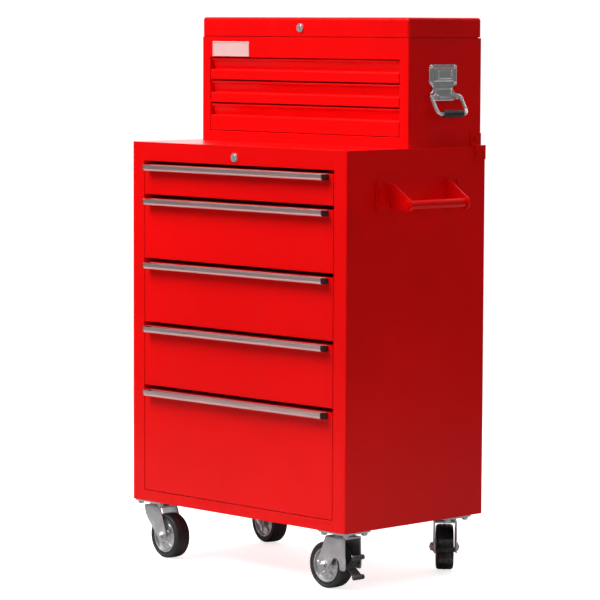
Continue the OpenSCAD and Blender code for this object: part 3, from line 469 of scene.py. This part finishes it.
def pull_alloy(look):
    """Satin anodised extrusion: hair lines drawn along its length, cloudy shade and bright worn corners."""
    material, g = new_graph("pull_alloy", look.alloy)
    rounded, worn = g.edge(look.edge_radius * 0.6)
    hair = g.noise(900.0, 2.0, 0.6, (0.012, 1.0, 1.0))
    cloud = g.noise(9.0, 3.0)
    shade = g.mix(hair.between(0.3, 0.7), rgba(look.alloy, 0.86), rgba(look.alloy, 1.04))
    shade = g.mix(cloud.between(0.35, 0.75) * 0.25, shade, rgba(look.alloy, 0.84))
    shade = g.mix(worn * 0.4, shade, (0.92, 0.91, 0.90, 1.0))
    g.finish({"Base Color": shade, "Metallic": 1.0, "Roughness": 0.36 + hair * 0.12,
              "Normal": g.bump(hair, 0.00003, rounded)})
    return material


def black_rubber(look):
    """Moulded rubber: fine pitting, greyed and dusty where it rolls."""
    material, g = new_graph("black_rubber", look.rubber)
    pits = g.noise(620.0, 3.0, 0.65)
    dust = g.noise(26.0, 5.0, 0.65).between(0.46, 0.74)
    shade = g.mix(pits.between(0.35, 0.7), rgba(look.rubber, 0.75), rgba(look.rubber, 1.5))
    shade = g.mix(dust * 0.20, shade, (0.15, 0.145, 0.14, 1.0))
    g.finish({"Base Color": shade, "Roughness": 0.46 + dust * 0.24 + pits * 0.10,
              "Normal": g.bump(pits, 0.00010), "Specular IOR Level": 0.45})
    return material


def hub_metal(look):
    """Pressed and plated hub: light grey, circular rubbing marks, darker film in patches."""
    base = (0.60, 0.615, 0.62)
    material, g = new_graph("hub_metal", base)
    rounded, worn = g.edge(look.edge_radius * 0.7)
    film = g.noise(70.0, 4.0, 0.62, (1, 1, 1), 0.5)
    grain = g.noise(700.0, 2.0)
    shade = g.mix(film.between(0.3, 0.72), (0.46, 0.475, 0.48, 1.0), (0.71, 0.72, 0.725, 1.0))
    shade = g.mix(worn * 0.5, shade, (0.85, 0.86, 0.87, 1.0))
    g.finish({"Base Color": shade, "Metallic": 0.85, "Roughness": 0.33 + film * 0.18,
              "Normal": g.bump(grain, 0.00003, rounded)})
    return material


def black_plastic(look):
    """Fine grained moulded plastic with a slightly polished high side."""
    base = (0.018, 0.017, 0.017)
    material, g = new_graph("black_plastic", base)
    grain = g.cells(1500.0)
    touch = g.noise(60.0, 3.0, 0.6).between(0.4, 0.75)
    shade = g.mix(touch, rgba(base), (0.045, 0.042, 0.040, 1.0))
    g.finish({"Base Color": shade, "Roughness": 0.50 - touch * 0.14, "Normal": g.bump(grain, 0.00006)})
    return material


def badge_plastic(look):
    """Moulded plate with a faint lengthwise brushing and a slightly greyed surface."""
    base = (0.84, 0.56, 0.54)
    material, g = new_graph("badge_plastic", base)
    rounded, worn = g.edge(look.edge_radius * 0.5)
    hair = g.noise(600.0, 2.0, 0.6, (0.02, 1.0, 1.0))
    grey = g.noise(40.0, 3.0).between(0.4, 0.8)
    shade = g.mix(hair.between(0.35, 0.7) * 0.5, rgba(base), rgba(base, 0.86))
    shade = g.mix(grey * 0.25, shade, (0.66, 0.47, 0.46, 1.0))
    g.finish({"Base Color": shade, "Roughness": 0.28 + hair * 0.1 + worn * 0.05,
              "Normal": g.bump(hair, 0.00002, rounded)})
    return material


def pedal_steel(look):
    """Black coated steel, worn grey on its high edges."""
    base = (0.030, 0.030, 0.031)
    material, g = new_graph("pedal_steel", base)
    rounded, worn = g.edge(look.edge_radius)
    scuff = g.noise(120.0, 4.0, 0.65)
    shade = g.mix(scuff.between(0.35, 0.75), rgba(base), (0.075, 0.075, 0.077, 1.0))
    shade = g.mix(worn * scuff.between(0.35, 0.6) * 0.8, shade, (0.42, 0.42, 0.42, 1.0))
    g.finish({"Base Color": shade, "Roughness": 0.42 + scuff * 0.18,
              "Normal": g.bump(scuff, 0.00006, rounded)})
    return material


def floor_paper(colour, glow):
    """Matt studio paper with a barely visible tooth and slow changes of shade, lost in the surround far out.
    It throws less light on the chest than the camera sees."""
    material, g = new_graph("floor_paper", colour)
    away = g.add("VectorMath", {"operation": "LENGTH"}, {0: g.place()}, out=1).between(*PAPER_FADE)
    tooth = g.noise(160.0, 3.0)
    cloud = g.noise(0.8, 2.0)
    shade = g.mix(cloud.between(0.3, 0.7), rgba(colour, 0.985), rgba(colour))
    paper = g.add("BsdfPrincipled", {}, {
        "Base Color": shade, "Roughness": 0.75 + tooth * 0.1, "Normal": g.bump(tooth, 0.0001),
        "Specular IOR Level": 0.2, "Emission Color": (1, 1, 1, 1), "Emission Strength": glow})
    dull = g.add("BsdfDiffuse", {}, {"Color": rgba(colour, 0.6)})
    paper = g.add("MixShader", {}, {0: g.add("LightPath"), 1: dull, 2: paper})
    both = g.add("MixShader", {}, {0: away, 1: paper, 2: g.add("BsdfTransparent")})
    g.add("OutputMaterial", {}, {"Surface": both})
    return material


FINISHES = {
    "red_paint": red_paint, "zinc_plate": zinc_plate, "chrome": chrome, "pull_alloy": pull_alloy,
    "black_rubber": black_rubber, "hub_metal": hub_metal, "black_plastic": black_plastic,
    "badge_plastic": badge_plastic, "pedal_steel": pedal_steel,
}


# ---------------------------------------------------------------- pieces

def cap_surfaces(node, thickness):
    """Both end caps of a pull: the pull's own section, square at the top and round at the lower front, as slabs
    that stand outside its two ends."""
    low, high = extent(node)
    depth, height = high[1] - low[1], high[2] - low[2]
    loop = rounded_loop([(0, 0), (depth, 0), (depth, height), (0, height)], [6.0, 0.4, 0.4, 1.0])
    plate = slab(loop, 0, thickness, 0.5)
    plug = slab(inset_loop(loop, 1.7), -6.0, 0.2, 0.3)
    found = []
    for x, way in ((high[0], 1), (low[0], -1)):
        for part in (plate, plug):
            found.append(part.moved((x, low[1], low[2]), (0, 1, 0), (0, 0, 1), (way, 0, 0)))
    return found


def tyre_surface(radius, width, bore, look):
    """Ring section turned about the axle: crowned tread with two grooves, quarter round shoulders, side walls
    that dish in to a raised bead at the hub."""
    half, s = width / 2, look.shoulder
    h = np.linspace(-(half - s), half - s, 41)
    crown = radius - 0.5 * (h / (half - s)) ** 2
    groove = look.groove * (np.exp(-((np.abs(h) - 5.0) / 0.8) ** 4))
    a = np.linspace(0, np.pi / 2, 9)
    edge = radius - 0.5
    side_r = np.array([edge - s - 0.8, edge - s - 1.8, bore + 3.2, bore + 1.8, bore])
    side_h = np.array([half - 0.4, half - 1.3, half - 1.3, half - 0.2, half - 0.6])
    right = np.column_stack([edge - s + s * np.cos(a), half - s + s * np.sin(a)])[1:]
    wall = np.column_stack([side_r, side_h])
    profile = np.concatenate([
        np.column_stack([crown - groove, h]), right, wall,
        (wall * (1, -1))[::-1], (right * (1, -1))[::-1],
    ])
    return turned(profile, 128, closed=True)


def brake_pin(trail, radius):
    """Where a brake's pin lies along the trail and up, ahead of the tyre and a little above the axle."""
    return trail - radius - BRAKE_PIN_OUT, radius + BRAKE_PIN_RISE


def hub_surface(outer, width, bore, look):
    """Hub turned about the axle. On each face height = rim lip, then a dish, then the boss, plus pressed ribs in
    the dish that follow cos(n t) and die out at rim and boss."""
    half = width / 2
    r = np.concatenate([
        np.linspace(outer, outer - 6, 12), np.linspace(outer - 6.5, 15, 22), np.linspace(14.5, bore, 8)])
    t = np.linspace(0, 2 * np.pi, 144, endpoint=False)
    rim = 1 - soft_step(3.0, 5.5, outer - r)
    boss = 1 - soft_step(12.0, 16.5, r)
    dish = -look.dish * (1 - np.maximum(rim, boss)) - 0.6 * (1 - soft_step(0, 1.2, outer - r)) * rim
    inside = soft_step(16.5, 19.0, r) * (1 - soft_step(outer - 9, outer - 5.5, r))
    ribs = 2.6 * inside[:, None] * soft_step(-0.05, 0.75, np.cos(look.ribs * t))[None, :]
    boss_rise = 2.0 * (1 - soft_step(9.5, 12.0, r))
    face = half + dish[:, None] + ribs + boss_rise[:, None]
    x, y = r[:, None] * np.cos(t), r[:, None] * np.sin(t)
    front = np.stack([x, y, face], 2)
    back = front[::-1] * (1, 1, -1)
    return Surface(np.concatenate([front, back]), True, True)


def fork_surfaces(crown_top, trail, radius, leg_in, look, braked):
    """A pressed fork: two tapering legs with rounded outlines, a crown plate whose side edges roll down into the
    legs, a raised race housing, and the axle bolt with its head and nut."""
    metal = look.leg_metal
    top = crown_top - 2.4
    pin_x, pin_z = brake_pin(trail, radius)
    front = [(-26, top - 1), (31, top - 1), (trail + 15, radius + 12), (trail + 13, radius - 6),
             (trail, radius - 14), (trail - 13, radius - 6), (-3 if not braked else 4, radius + 24)]
    cuts = [5, 6, 9, 8, 6.5, 8, 10 if braked else 13]
    if braked:
        front += [(pin_x + 10, pin_z + 10), (pin_x + 7, pin_z - 8), (pin_x - 8, pin_z - 8), (pin_x - 9, pin_z + 8),
                  (-26, top - 26)]
        cuts += [5, 5, 5, 5, 8]
    else:
        front += [(-20, top - 24)]
        cuts += [10]
    leg = slab(rounded_loop(front, cuts), 0, metal, 0.8)
    found = [
        leg.moved((0, leg_in + metal, 0), (1, 0, 0), (0, 0, 1), (0, -1, 0)),
        leg.moved((0, -leg_in, 0), (1, 0, 0), (0, 0, 1), (0, -1, 0)),
    ]
    a = np.linspace(0, np.pi / 2, 6)
    roll = metal + 0.6
    arc_y, arc_z = leg_in + metal - roll + roll * np.sin(a), top - roll + roll * np.cos(a)
    under_y, under_z = leg_in + 0.4 * np.sin(a), top - metal - 0.4 + 0.4 * np.cos(a)
    half = np.concatenate([np.column_stack([arc_y, arc_z]), np.column_stack([under_y, under_z])[::-1]])
    section = np.concatenate([half, (half * (-1, 1))[::-1]])
    x = np.linspace(-26, 31, 24)
    narrow = 1 - 0.10 * np.abs((x - 2.5) / 28.5) ** 6
    grid = np.empty((len(x), len(section), 3))
    grid[..., 0] = x[:, None]
    grid[..., 1] = section[None, :, 0]
    grid[..., 2] = section[None, :, 1] - (1 - narrow[:, None]) * 6
    found.append(Surface(grid, False, True, True))
    race = [(24.0, top - 2.5), (24.0, top + 0.4), (23.2, top + 1.4), (21.0, top + 2.2), (17.0, crown_top),
            (7.0, crown_top), (7.0, top - 3.0), (20, top - 3.0)]
    found.append(turned(race, 72, closed=True))
    out = leg_in + metal
    for side, end in ((1, 6.5), (-1, 5.5)):
        washer = [(0, 0.0), (10.5, 0.0), (10.5, 1.1), (10.0, 1.5), (0, 1.5)]
        head = [(0, 1.4), (8.0, 1.4), (8.0, end - 1.0), (7.0, end), (0, end)]
        tip = [(0, end - 0.2), (4.6, end - 0.2), (4.6, end + 1.0), (3.8, end + 1.8), (0, end + 1.8)]
        for profile, k in ((washer, None), (head, hexagon), (tip, None)):
            part = turned(profile, 48, radius=k)
            found.append(part.moved((trail, side * out, radius), (1, 0, 0), (0, 0, side), (0, side, 0)))
    if braked:
        pin = [(0, -(out + 2)), (2.6, -(out + 2)), (3.0, -(out + 1.4)),
               (3.0, out + 1.4), (2.6, out + 2), (0, out + 2)]
        found.append(turned(pin, 32).moved((pin_x, 0, pin_z), (1, 0, 0), (0, 0, -1), (0, 1, 0)))
    return found


def pedal_surfaces(at, half_width):
    """Rocker of a brake: one pressed strip carried along a bow that runs from the upper lobe round the pin to the
    lower lobe, a hub round the pin, and a ribbed pad on each lobe."""
    t = np.linspace(-1, 1, 33)
    reach = at[0] - 24 * np.abs(t) ** 1.15
    rise = at[2] + 22.5 * t
    path = np.column_stack([reach, np.zeros(33), rise])
    wide = 12.5 - 3.0 * np.exp(-(t / 0.35) ** 2)
    u = np.array([-1, 1, 1, -1.0])
    v = np.array([-1.6, -1.6, 1.6, 1.6])
    section = np.stack([wide[:, None] * u[None, :], np.broadcast_to(v, (33, 4))], 2)
    found = [carried(section, path, (0, 1, 0))]
    hub = [(3.1, -half_width), (5.0, -half_width), (5.5, -half_width + 0.6), (5.5, half_width - 0.6),
           (5.0, half_width), (3.1, half_width)]
    found.append(turned(hub, 40, closed=True).moved((at[0], 0, at[2]), (1, 0, 0), (0, 0, -1), (0, 1, 0)))
    y = np.linspace(-15, 15, 61)
    a = np.linspace(0, 2 * np.pi, 28, endpoint=False)
    ribbed = 5.2 - 0.9 * soft_step(0.1, 0.9, np.cos(y * 2 * np.pi / 5.0))
    ribbed[[0, -1]] = 3.6
    grid = np.stack([
        ribbed[:, None] * np.cos(a), np.repeat(y[:, None], 28, 1), ribbed[:, None] * 1.05 * np.sin(a)], 2)
    for way in (-1, 1):
        found.append(Surface(grid + (at[0] - 23.5, 0, at[2] + way * 21), False, True, True))
    return found


def plate_surface(top, bottom, look):
    """Pressed handle plate as a height over (y, z): half width runs from the broad head through a waist to the
    broad foot, the rim is rounded down to the panel, a boss with a second step stands in the head and a low dome
    in the foot. The back is flat, and both ends drop to it."""
    z = np.concatenate([[bottom], np.linspace(bottom, top, 90), [top]])
    s = np.linspace(-1, 1, 81)
    head = soft_step(18, 30, z)
    foot = 1 - soft_step(4, 15, z)
    width = 31 + 11.5 * head + 8 * foot
    corner = 8.0
    for end, way in ((top, -1), (bottom, 1)):
        gap = np.clip(corner - way * (z - end), 0, corner)
        width = width - (corner - np.sqrt(np.maximum(corner ** 2 - gap ** 2, 0)))
    y = width[:, None] * s[None, :]
    zz = np.repeat(z[:, None], len(s), 1)
    rim = np.minimum(width[:, None] * (1 - np.abs(s[None, :])), np.minimum(top - zz, zz - bottom))
    height = 0.5 + 1.1 * soft_step(0, 1.8, rim)

    def panel(half_y, z0, z1, rise, slope):
        inside = np.minimum(half_y - np.abs(y), np.minimum(zz - z0, z1 - zz))
        return rise * soft_step(-slope, slope, inside)

    height = height + panel(29, 33, 60, look.boss - 1.6, 2.0) + panel(20, 38, 55, 1.5, 1.2)
    height = height + panel(24, -2, 16, look.dome - 1.6, 3.0)
    height = height + 0.9 * np.exp(-((zz - 24.5) / 2.2) ** 2) * soft_step(0, 6, rim)
    height[[0, -1]] = 0
    front = np.stack([height, y, zz], 2)
    back = front[:, ::-1] * (0, 1, 1)
    return Surface(np.concatenate([front, back], 1), False, True)


def plate_surfaces(look):
    """The right-hand handle plate about its pivot: panel, two lugs round the bail's pins, and four rivets."""
    found = [plate_surface(68, -9, look)]
    lug = rounded_loop([(0, -6.5), (9, -6.5), (15.5, -6.5), (15.5, 6.5), (9, 6.5), (0, 6.5)],
                       [0.4, 1, 6.2, 6.2, 1, 0.4])
    for side in (-1, 1):
        y = side * LUG_MIDDLE
        found.append(slab(lug, y - 4.5, y + 4.5, 1.0).moved((0, 0, 0), (1, 0, 0), (0, 0, 1), (0, 1, 0)))
        dome = [(0, 3.0), (1.4, 2.8), (2.8, 2.2), (3.6, 1.3), (3.8, 0.2), (0, 0.2)]
        for z in (27, 63):
            found.append(turned(dome, 24).moved((1.0, side * RIVET_MIDDLE, z), (0, 1, 0), (0, 0, 1), (1, 0, 0)))
    return found


def lip_surface(half_x, y0, y1, z0, z1, metal):
    """Upstanding strip inside the lid: a U in plan, along the front and both sides, from height z0 to z1."""
    inner = half_x - metal
    plan = [(-half_x, y1), (-half_x, y0), (half_x, y0), (half_x, y1), (inner, y1), (inner, y0 + metal),
            (-inner, y0 + metal), (-inner, y1)]
    return slab(rounded_loop(plan, 0.3), z0, z1, 0.2)


def grip_surface(length, outer, bore, ribs):
    """Grip turned about the bail: radius swells to the middle and dips between ribs, with a straight bore."""
    h = np.linspace(-length / 2, length / 2, 140)
    swell = outer - 0.7 * (2 * h / length) ** 2
    dips = 0.75 * soft_step(0.35, 0.95, np.cos(2 * np.pi * ribs * (h / length + 0.5)))
    r = swell - dips * (np.abs(h) < length / 2 - 3)
    r[[0, -1]] = outer - 1.8
    profile = np.concatenate([np.column_stack([r, h]), [[bore, length / 2], [bore, -length / 2]]])
    return turned(profile, 48, closed=True)


def caster_axes(corner):
    """Where a caster's swivel axis meets the floor, and its trailing, axle and upward directions."""
    swivel = np.array(JOINTS[f"caster_{corner}_swivel"]["pos_m"]) / MM
    wheel = np.array(JOINTS[f"caster_{corner}_roll"]["pos_m"]) / MM
    along = (wheel - swivel) * (1, 1, 0)
    trail = np.linalg.norm(along)
    along /= trail
    return (swivel[0], swivel[1], 0), along, np.array([-along[1], along[0], 0]), (0, 0, 1), trail


# ---------------------------------------------------------------- operators

def material(name):
    """The finish of that name, made once."""
    found = bpy.data.materials.get(name)
    return found or FINISHES[name](bpy.context.scene.tool_chest_finish)


class TOOLCHEST_OT_finish_frame(bpy.types.Operator):
    """Gives every CAD node the finish that the record names for it"""
    bl_idname = "toolchest.finish_frame"
    bl_label = "Finish Frame"

    def execute(self, context):
        for plain in list(bpy.data.materials):
            bpy.data.materials.remove(plain)
        slots = {part["node"]: part["material_slot"] for part in frame["record"]["subparts"]}
        for name, node in NODES.items():
            node.data.materials.clear()
            node.data.materials.append(material(slots[name]))
        bolts = NODES["fixing_bolts"].data
        bolts.materials.append(material("red_paint"))
        heights = np.empty(len(bolts.vertices) * 3, np.float32)
        bolts.vertices.foreach_get("co", heights)
        corners = np.empty(len(bolts.loops), np.int32)
        bolts.loops.foreach_get("vertex_index", corners)
        starts = np.empty(len(bolts.polygons), np.int32)
        bolts.polygons.foreach_get("loop_start", starts)
        above = heights.reshape(-1, 3)[corners[starts], 2] > 0.3
        bolts.polygons.foreach_set("material_index", above.astype(np.int32))
        return {"FINISHED"}


class TOOLCHEST_OT_pull_caps(bpy.types.Operator):
    """Adds the black end caps of the five drawer pulls"""
    bl_idname = "toolchest.pull_caps"
    bl_label = "Pull Caps"

    def execute(self, context):
        look = context.scene.tool_chest_handles
        for n in DRAWERS:
            make_piece(f"pull_caps_{n}", cap_surfaces(f"cabinet_pull_{n}", look.cap), material("black_plastic"),
                       f"cabinet_drawer_{n}")
        return {"FINISHED"}


class TOOLCHEST_OT_wheels(bpy.types.Operator):
    """Builds the tyres and pressed hubs of the four casters"""
    bl_idname = "toolchest.wheels"
    bl_label = "Wheels"

    def execute(self, context):
        look = context.scene.tool_chest_wheels
        for corner in CORNERS:
            origin, along, axle, up, trail = caster_axes(corner)
            centre = np.array(origin) + trail * along + (0, 0, WHEEL_RADIUS)
            tyre = tyre_surface(WHEEL_RADIUS, TYRE_WIDTH, HUB_RADIUS, look)
            hub = hub_surface(HUB_RADIUS, HUB_WIDTH, AXLE_BORE, look)
            for surface, kind, finish in ((tyre, "tyre", "black_rubber"), (hub, "hub", "hub_metal")):
                make_piece(f"wheel_{kind}_{corner}", [surface.moved(centre, along, up, -axle)], material(finish),
                           f"wheel_{corner}", [f"caster_{kind}_{corner}"])
        return {"FINISHED"}


class TOOLCHEST_OT_forks(bpy.types.Operator):
    """Builds the pressed forks of the four casters"""
    bl_idname = "toolchest.forks"
    bl_label = "Forks"

    def execute(self, context):
        look = context.scene.tool_chest_wheels
        for corner in CORNERS:
            origin, along, axle, up, trail = caster_axes(corner)
            high = extent(f"caster_fork_{corner}")[1][2]
            parts = fork_surfaces(high, trail, WHEEL_RADIUS, LEG_GAP, look, corner in BRAKED)
            make_piece(f"fork_{corner}", [part.moved(origin, along, axle, up) for part in parts],
                       material("zinc_plate"), f"fork_{corner}", [f"caster_fork_{corner}"])
        return {"FINISHED"}


class TOOLCHEST_OT_pedals(bpy.types.Operator):
    """Builds the two brake rockers"""
    bl_idname = "toolchest.pedals"
    bl_label = "Brake Pedals"

    def execute(self, context):
        for corner in BRAKED:
            origin, along, axle, up, trail = caster_axes(corner)
            pin_x, pin_z = brake_pin(trail, WHEEL_RADIUS)
            parts = pedal_surfaces((pin_x, 0, pin_z), BRAKE_HALF_WIDTH)
            make_piece(f"pedal_{corner}", [part.moved(origin, along, axle, up) for part in parts],
                       material("pedal_steel"), f"brake_pedal_{corner}", [f"brake_pedal_{corner}"])
        return {"FINISHED"}


class TOOLCHEST_OT_chest_handles(bpy.types.Operator):
    """Builds the pressed plates and ribbed grips of the chest's side handles"""
    bl_idname = "toolchest.chest_handles"
    bl_label = "Chest Handles"

    def execute(self, context):
        look = context.scene.tool_chest_handles
        for side, way in (("left", -1), ("right", 1)):
            pivot = np.array(JOINTS[f"bail_{side}_swing"]["pos_m"]) / MM
            wall = pivot[0] - way * BAIL_PIN_OUT
            plate = [part.moved((wall, pivot[1], pivot[2]), (way, 0, 0), (0, 1, 0), (0, 0, 1))
                     for part in plate_surfaces(look)]
            make_piece(f"handle_plate_{side}", plate, material("chrome"), "cabinet",
                       [f"chest_handle_plate_{side}"])
            low, high = extent(f"bail_grip_{side}")
            middle = (low + high) / 2
            grip = grip_surface(high[1] - low[1], (high[2] - low[2]) / 2, BAIL_BORE, look.grip_ribs)
            make_piece(f"handle_grip_{side}", [grip.moved(middle, (1, 0, 0), (0, 0, 1), (0, 1, 0))],
                       material("black_plastic"), f"bail_{side}", [f"bail_grip_{side}"])
        return {"FINISHED"}


class TOOLCHEST_OT_lid_lip(bpy.types.Operator):
    """Adds the lip that stands inside the closed lid"""
    bl_idname = "toolchest.lid_lip"
    bl_label = "Lid Lip"

    def execute(self, context):
        look = context.scene.tool_chest_handles
        low, high = extent("chest_shell")
        half_x, middle = (high[0] - low[0]) / 2 - look.lip_inset, (high[0] + low[0]) / 2
        lip = lip_surface(half_x, low[1] + look.lip_inset, high[1] - LID_LIP_STOP, high[2] - LID_LIP_METAL,
                          high[2] + look.lip_height, LID_LIP_METAL)
        make_piece("lid_lip", [lip.moved((middle, 0, 0), (1, 0, 0), (0, 1, 0), (0, 0, 1))], material("red_paint"),
                   "cabinet")
        return {"FINISHED"}


def softbox(name, place, target, size, power):
    """A square area light at a place, turned towards a target."""
    data = bpy.data.lights.new(name, "AREA")
    data.shape, data.size, data.energy = "SQUARE", size, power
    light = bpy.data.objects.new(name, data)
    light.location = place
    light.rotation_euler = (Vector(target) - Vector(place)).to_track_quat("-Z", "Y").to_euler()
    bpy.context.scene.collection.objects.link(light)


class TOOLCHEST_OT_stage(bpy.types.Operator):
    """Sets the pale floor, the soft studio light and the camera"""
    bl_idname = "toolchest.stage"
    bl_label = "Stage"

    def execute(self, context):
        scene = context.scene
        look = scene.tool_chest_stage
        self.camera(scene, look)
        self.floor(scene, look)
        for name, place, target, size, power in SOFTBOXES:
            softbox(name, place, target, size, getattr(look, power))
        self.surround(scene)
        scene.view_settings.view_transform = "Standard"
        return {"FINISHED"}

    def camera(self, scene, look):
        """Axes from yaw, then pitch, then roll; a camera looks along its own -z."""
        forward = Vector((-math.sin(look.yaw), math.cos(look.yaw), 0))
        right = Vector((math.cos(look.yaw), math.sin(look.yaw), 0))
        up = Vector((0, 0, 1))
        ahead = forward * math.cos(look.pitch) - up * math.sin(look.pitch)
        above = up * math.cos(look.pitch) + forward * math.sin(look.pitch)
        side = right * math.cos(look.roll) + above * math.sin(look.roll)
        above = above * math.cos(look.roll) - right * math.sin(look.roll)
        data = bpy.data.cameras.new("camera")
        data.lens, data.sensor_width, data.clip_end = look.lens, 36.0, 200.0
        camera = bpy.data.objects.new("camera", data)
        turn = Matrix((side, above, -ahead)).transposed().to_4x4()
        camera.matrix_world = Matrix.Translation(look.place) @ turn
        scene.collection.objects.link(camera)
        scene.camera = camera

    def floor(self, scene, look):
        """Flat disc: rings of points at radius 9 s^1.5 for s from 0 to 1, all at height 0."""
        ring = FLOOR_RADIUS * np.linspace(0, 1, 24) ** 1.5
        t = np.linspace(0, 2 * np.pi, 96, endpoint=False)
        x, y = ring[:, None] * np.cos(t), ring[:, None] * np.sin(t)
        disc = Surface(np.stack([x, y, 0 * x], 2), False, True)
        mesh = bpy.data.meshes.new("floor")
        mesh.from_pydata(disc.points.reshape(-1, 3).tolist(), [], disc.faces())
        work = bmesh.new()
        work.from_mesh(mesh)
        bmesh.ops.remove_doubles(work, verts=work.verts, dist=1e-6)
        bmesh.ops.recalc_face_normals(work, faces=work.faces)
        if sum(face.normal.z for face in work.faces) < 0:
            bmesh.ops.reverse_faces(work, faces=work.faces)
        work.to_mesh(mesh)
        work.free()
        mesh.materials.append(floor_paper(look.floor, look.glow))
        floor = bpy.data.objects.new("floor", mesh)
        scene.collection.objects.link(floor)

    def surround(self, scene):
        """White where the camera sees it and in a soft patch behind the chest, dim for other light."""
        world = bpy.data.worlds.new("studio")
        world.use_nodes = True
        scene.world = world
        g = Graph(world.node_tree)
        seen = g.add("LightPath")
        toward = g.add("TexCoord")
        behind = g.add("VectorMath", {"operation": "DOT_PRODUCT"}, {0: toward, 1: WORLD_PATCH}, out=1)
        dim, white, bright = (g.add("Background", {}, {"Color": (1, 1, 1, 1), "Strength": strength})
                              for strength in SURROUND)
        lit = g.add("MixShader", {}, {0: behind.between(0.55, 0.85), 1: dim, 2: bright})
        both = g.add("MixShader", {}, {0: seen, 1: lit, 2: white})
        g.add("OutputWorld", {}, {"Surface": both})


OPERATORS = (
    TOOLCHEST_OT_finish_frame, TOOLCHEST_OT_pull_caps, TOOLCHEST_OT_wheels, TOOLCHEST_OT_forks,
    TOOLCHEST_OT_pedals, TOOLCHEST_OT_chest_handles, TOOLCHEST_OT_lid_lip, TOOLCHEST_OT_stage,
)
SETTINGS = {
    "tool_chest_finish": ToolChestFinish, "tool_chest_wheels": ToolChestWheels,
    "tool_chest_handles": ToolChestHandles, "tool_chest_stage": ToolChestStage,
}


class TOOLCHEST_PT_panel(bpy.types.Panel):
    """Lists the settings and the builders"""
    bl_idname = "TOOLCHEST_PT_panel"
    bl_label = "Rolling Tool Chest"
    bl_space_type = "VIEW_3D"
    bl_region_type = "UI"
    bl_category = "Tool Chest"

    def draw(self, context):
        for name, group in SETTINGS.items():
            box = self.layout.box()
            for key in group.__annotations__:
                box.prop(getattr(context.scene, name), key)
        for operator in OPERATORS:
            self.layout.operator(operator.bl_idname)


def register():
    for group in SETTINGS.values():
        bpy.utils.register_class(group)
    for name, group in SETTINGS.items():
        setattr(bpy.types.Scene, name, bpy.props.PointerProperty(type=group))
    for operator in OPERATORS:
        bpy.utils.register_class(operator)
    bpy.utils.register_class(TOOLCHEST_PT_panel)


def unregister():
    bpy.utils.unregister_class(TOOLCHEST_PT_panel)
    for operator in reversed(OPERATORS):
        bpy.utils.unregister_class(operator)
    for name, group in SETTINGS.items():
        delattr(bpy.types.Scene, name)
        bpy.utils.unregister_class(group)


def main():
    register()
    for operator in OPERATORS:
        space, name = operator.bl_idname.split(".")
        getattr(getattr(bpy.ops, space), name)()


if __name__ == "__main__":
    main()
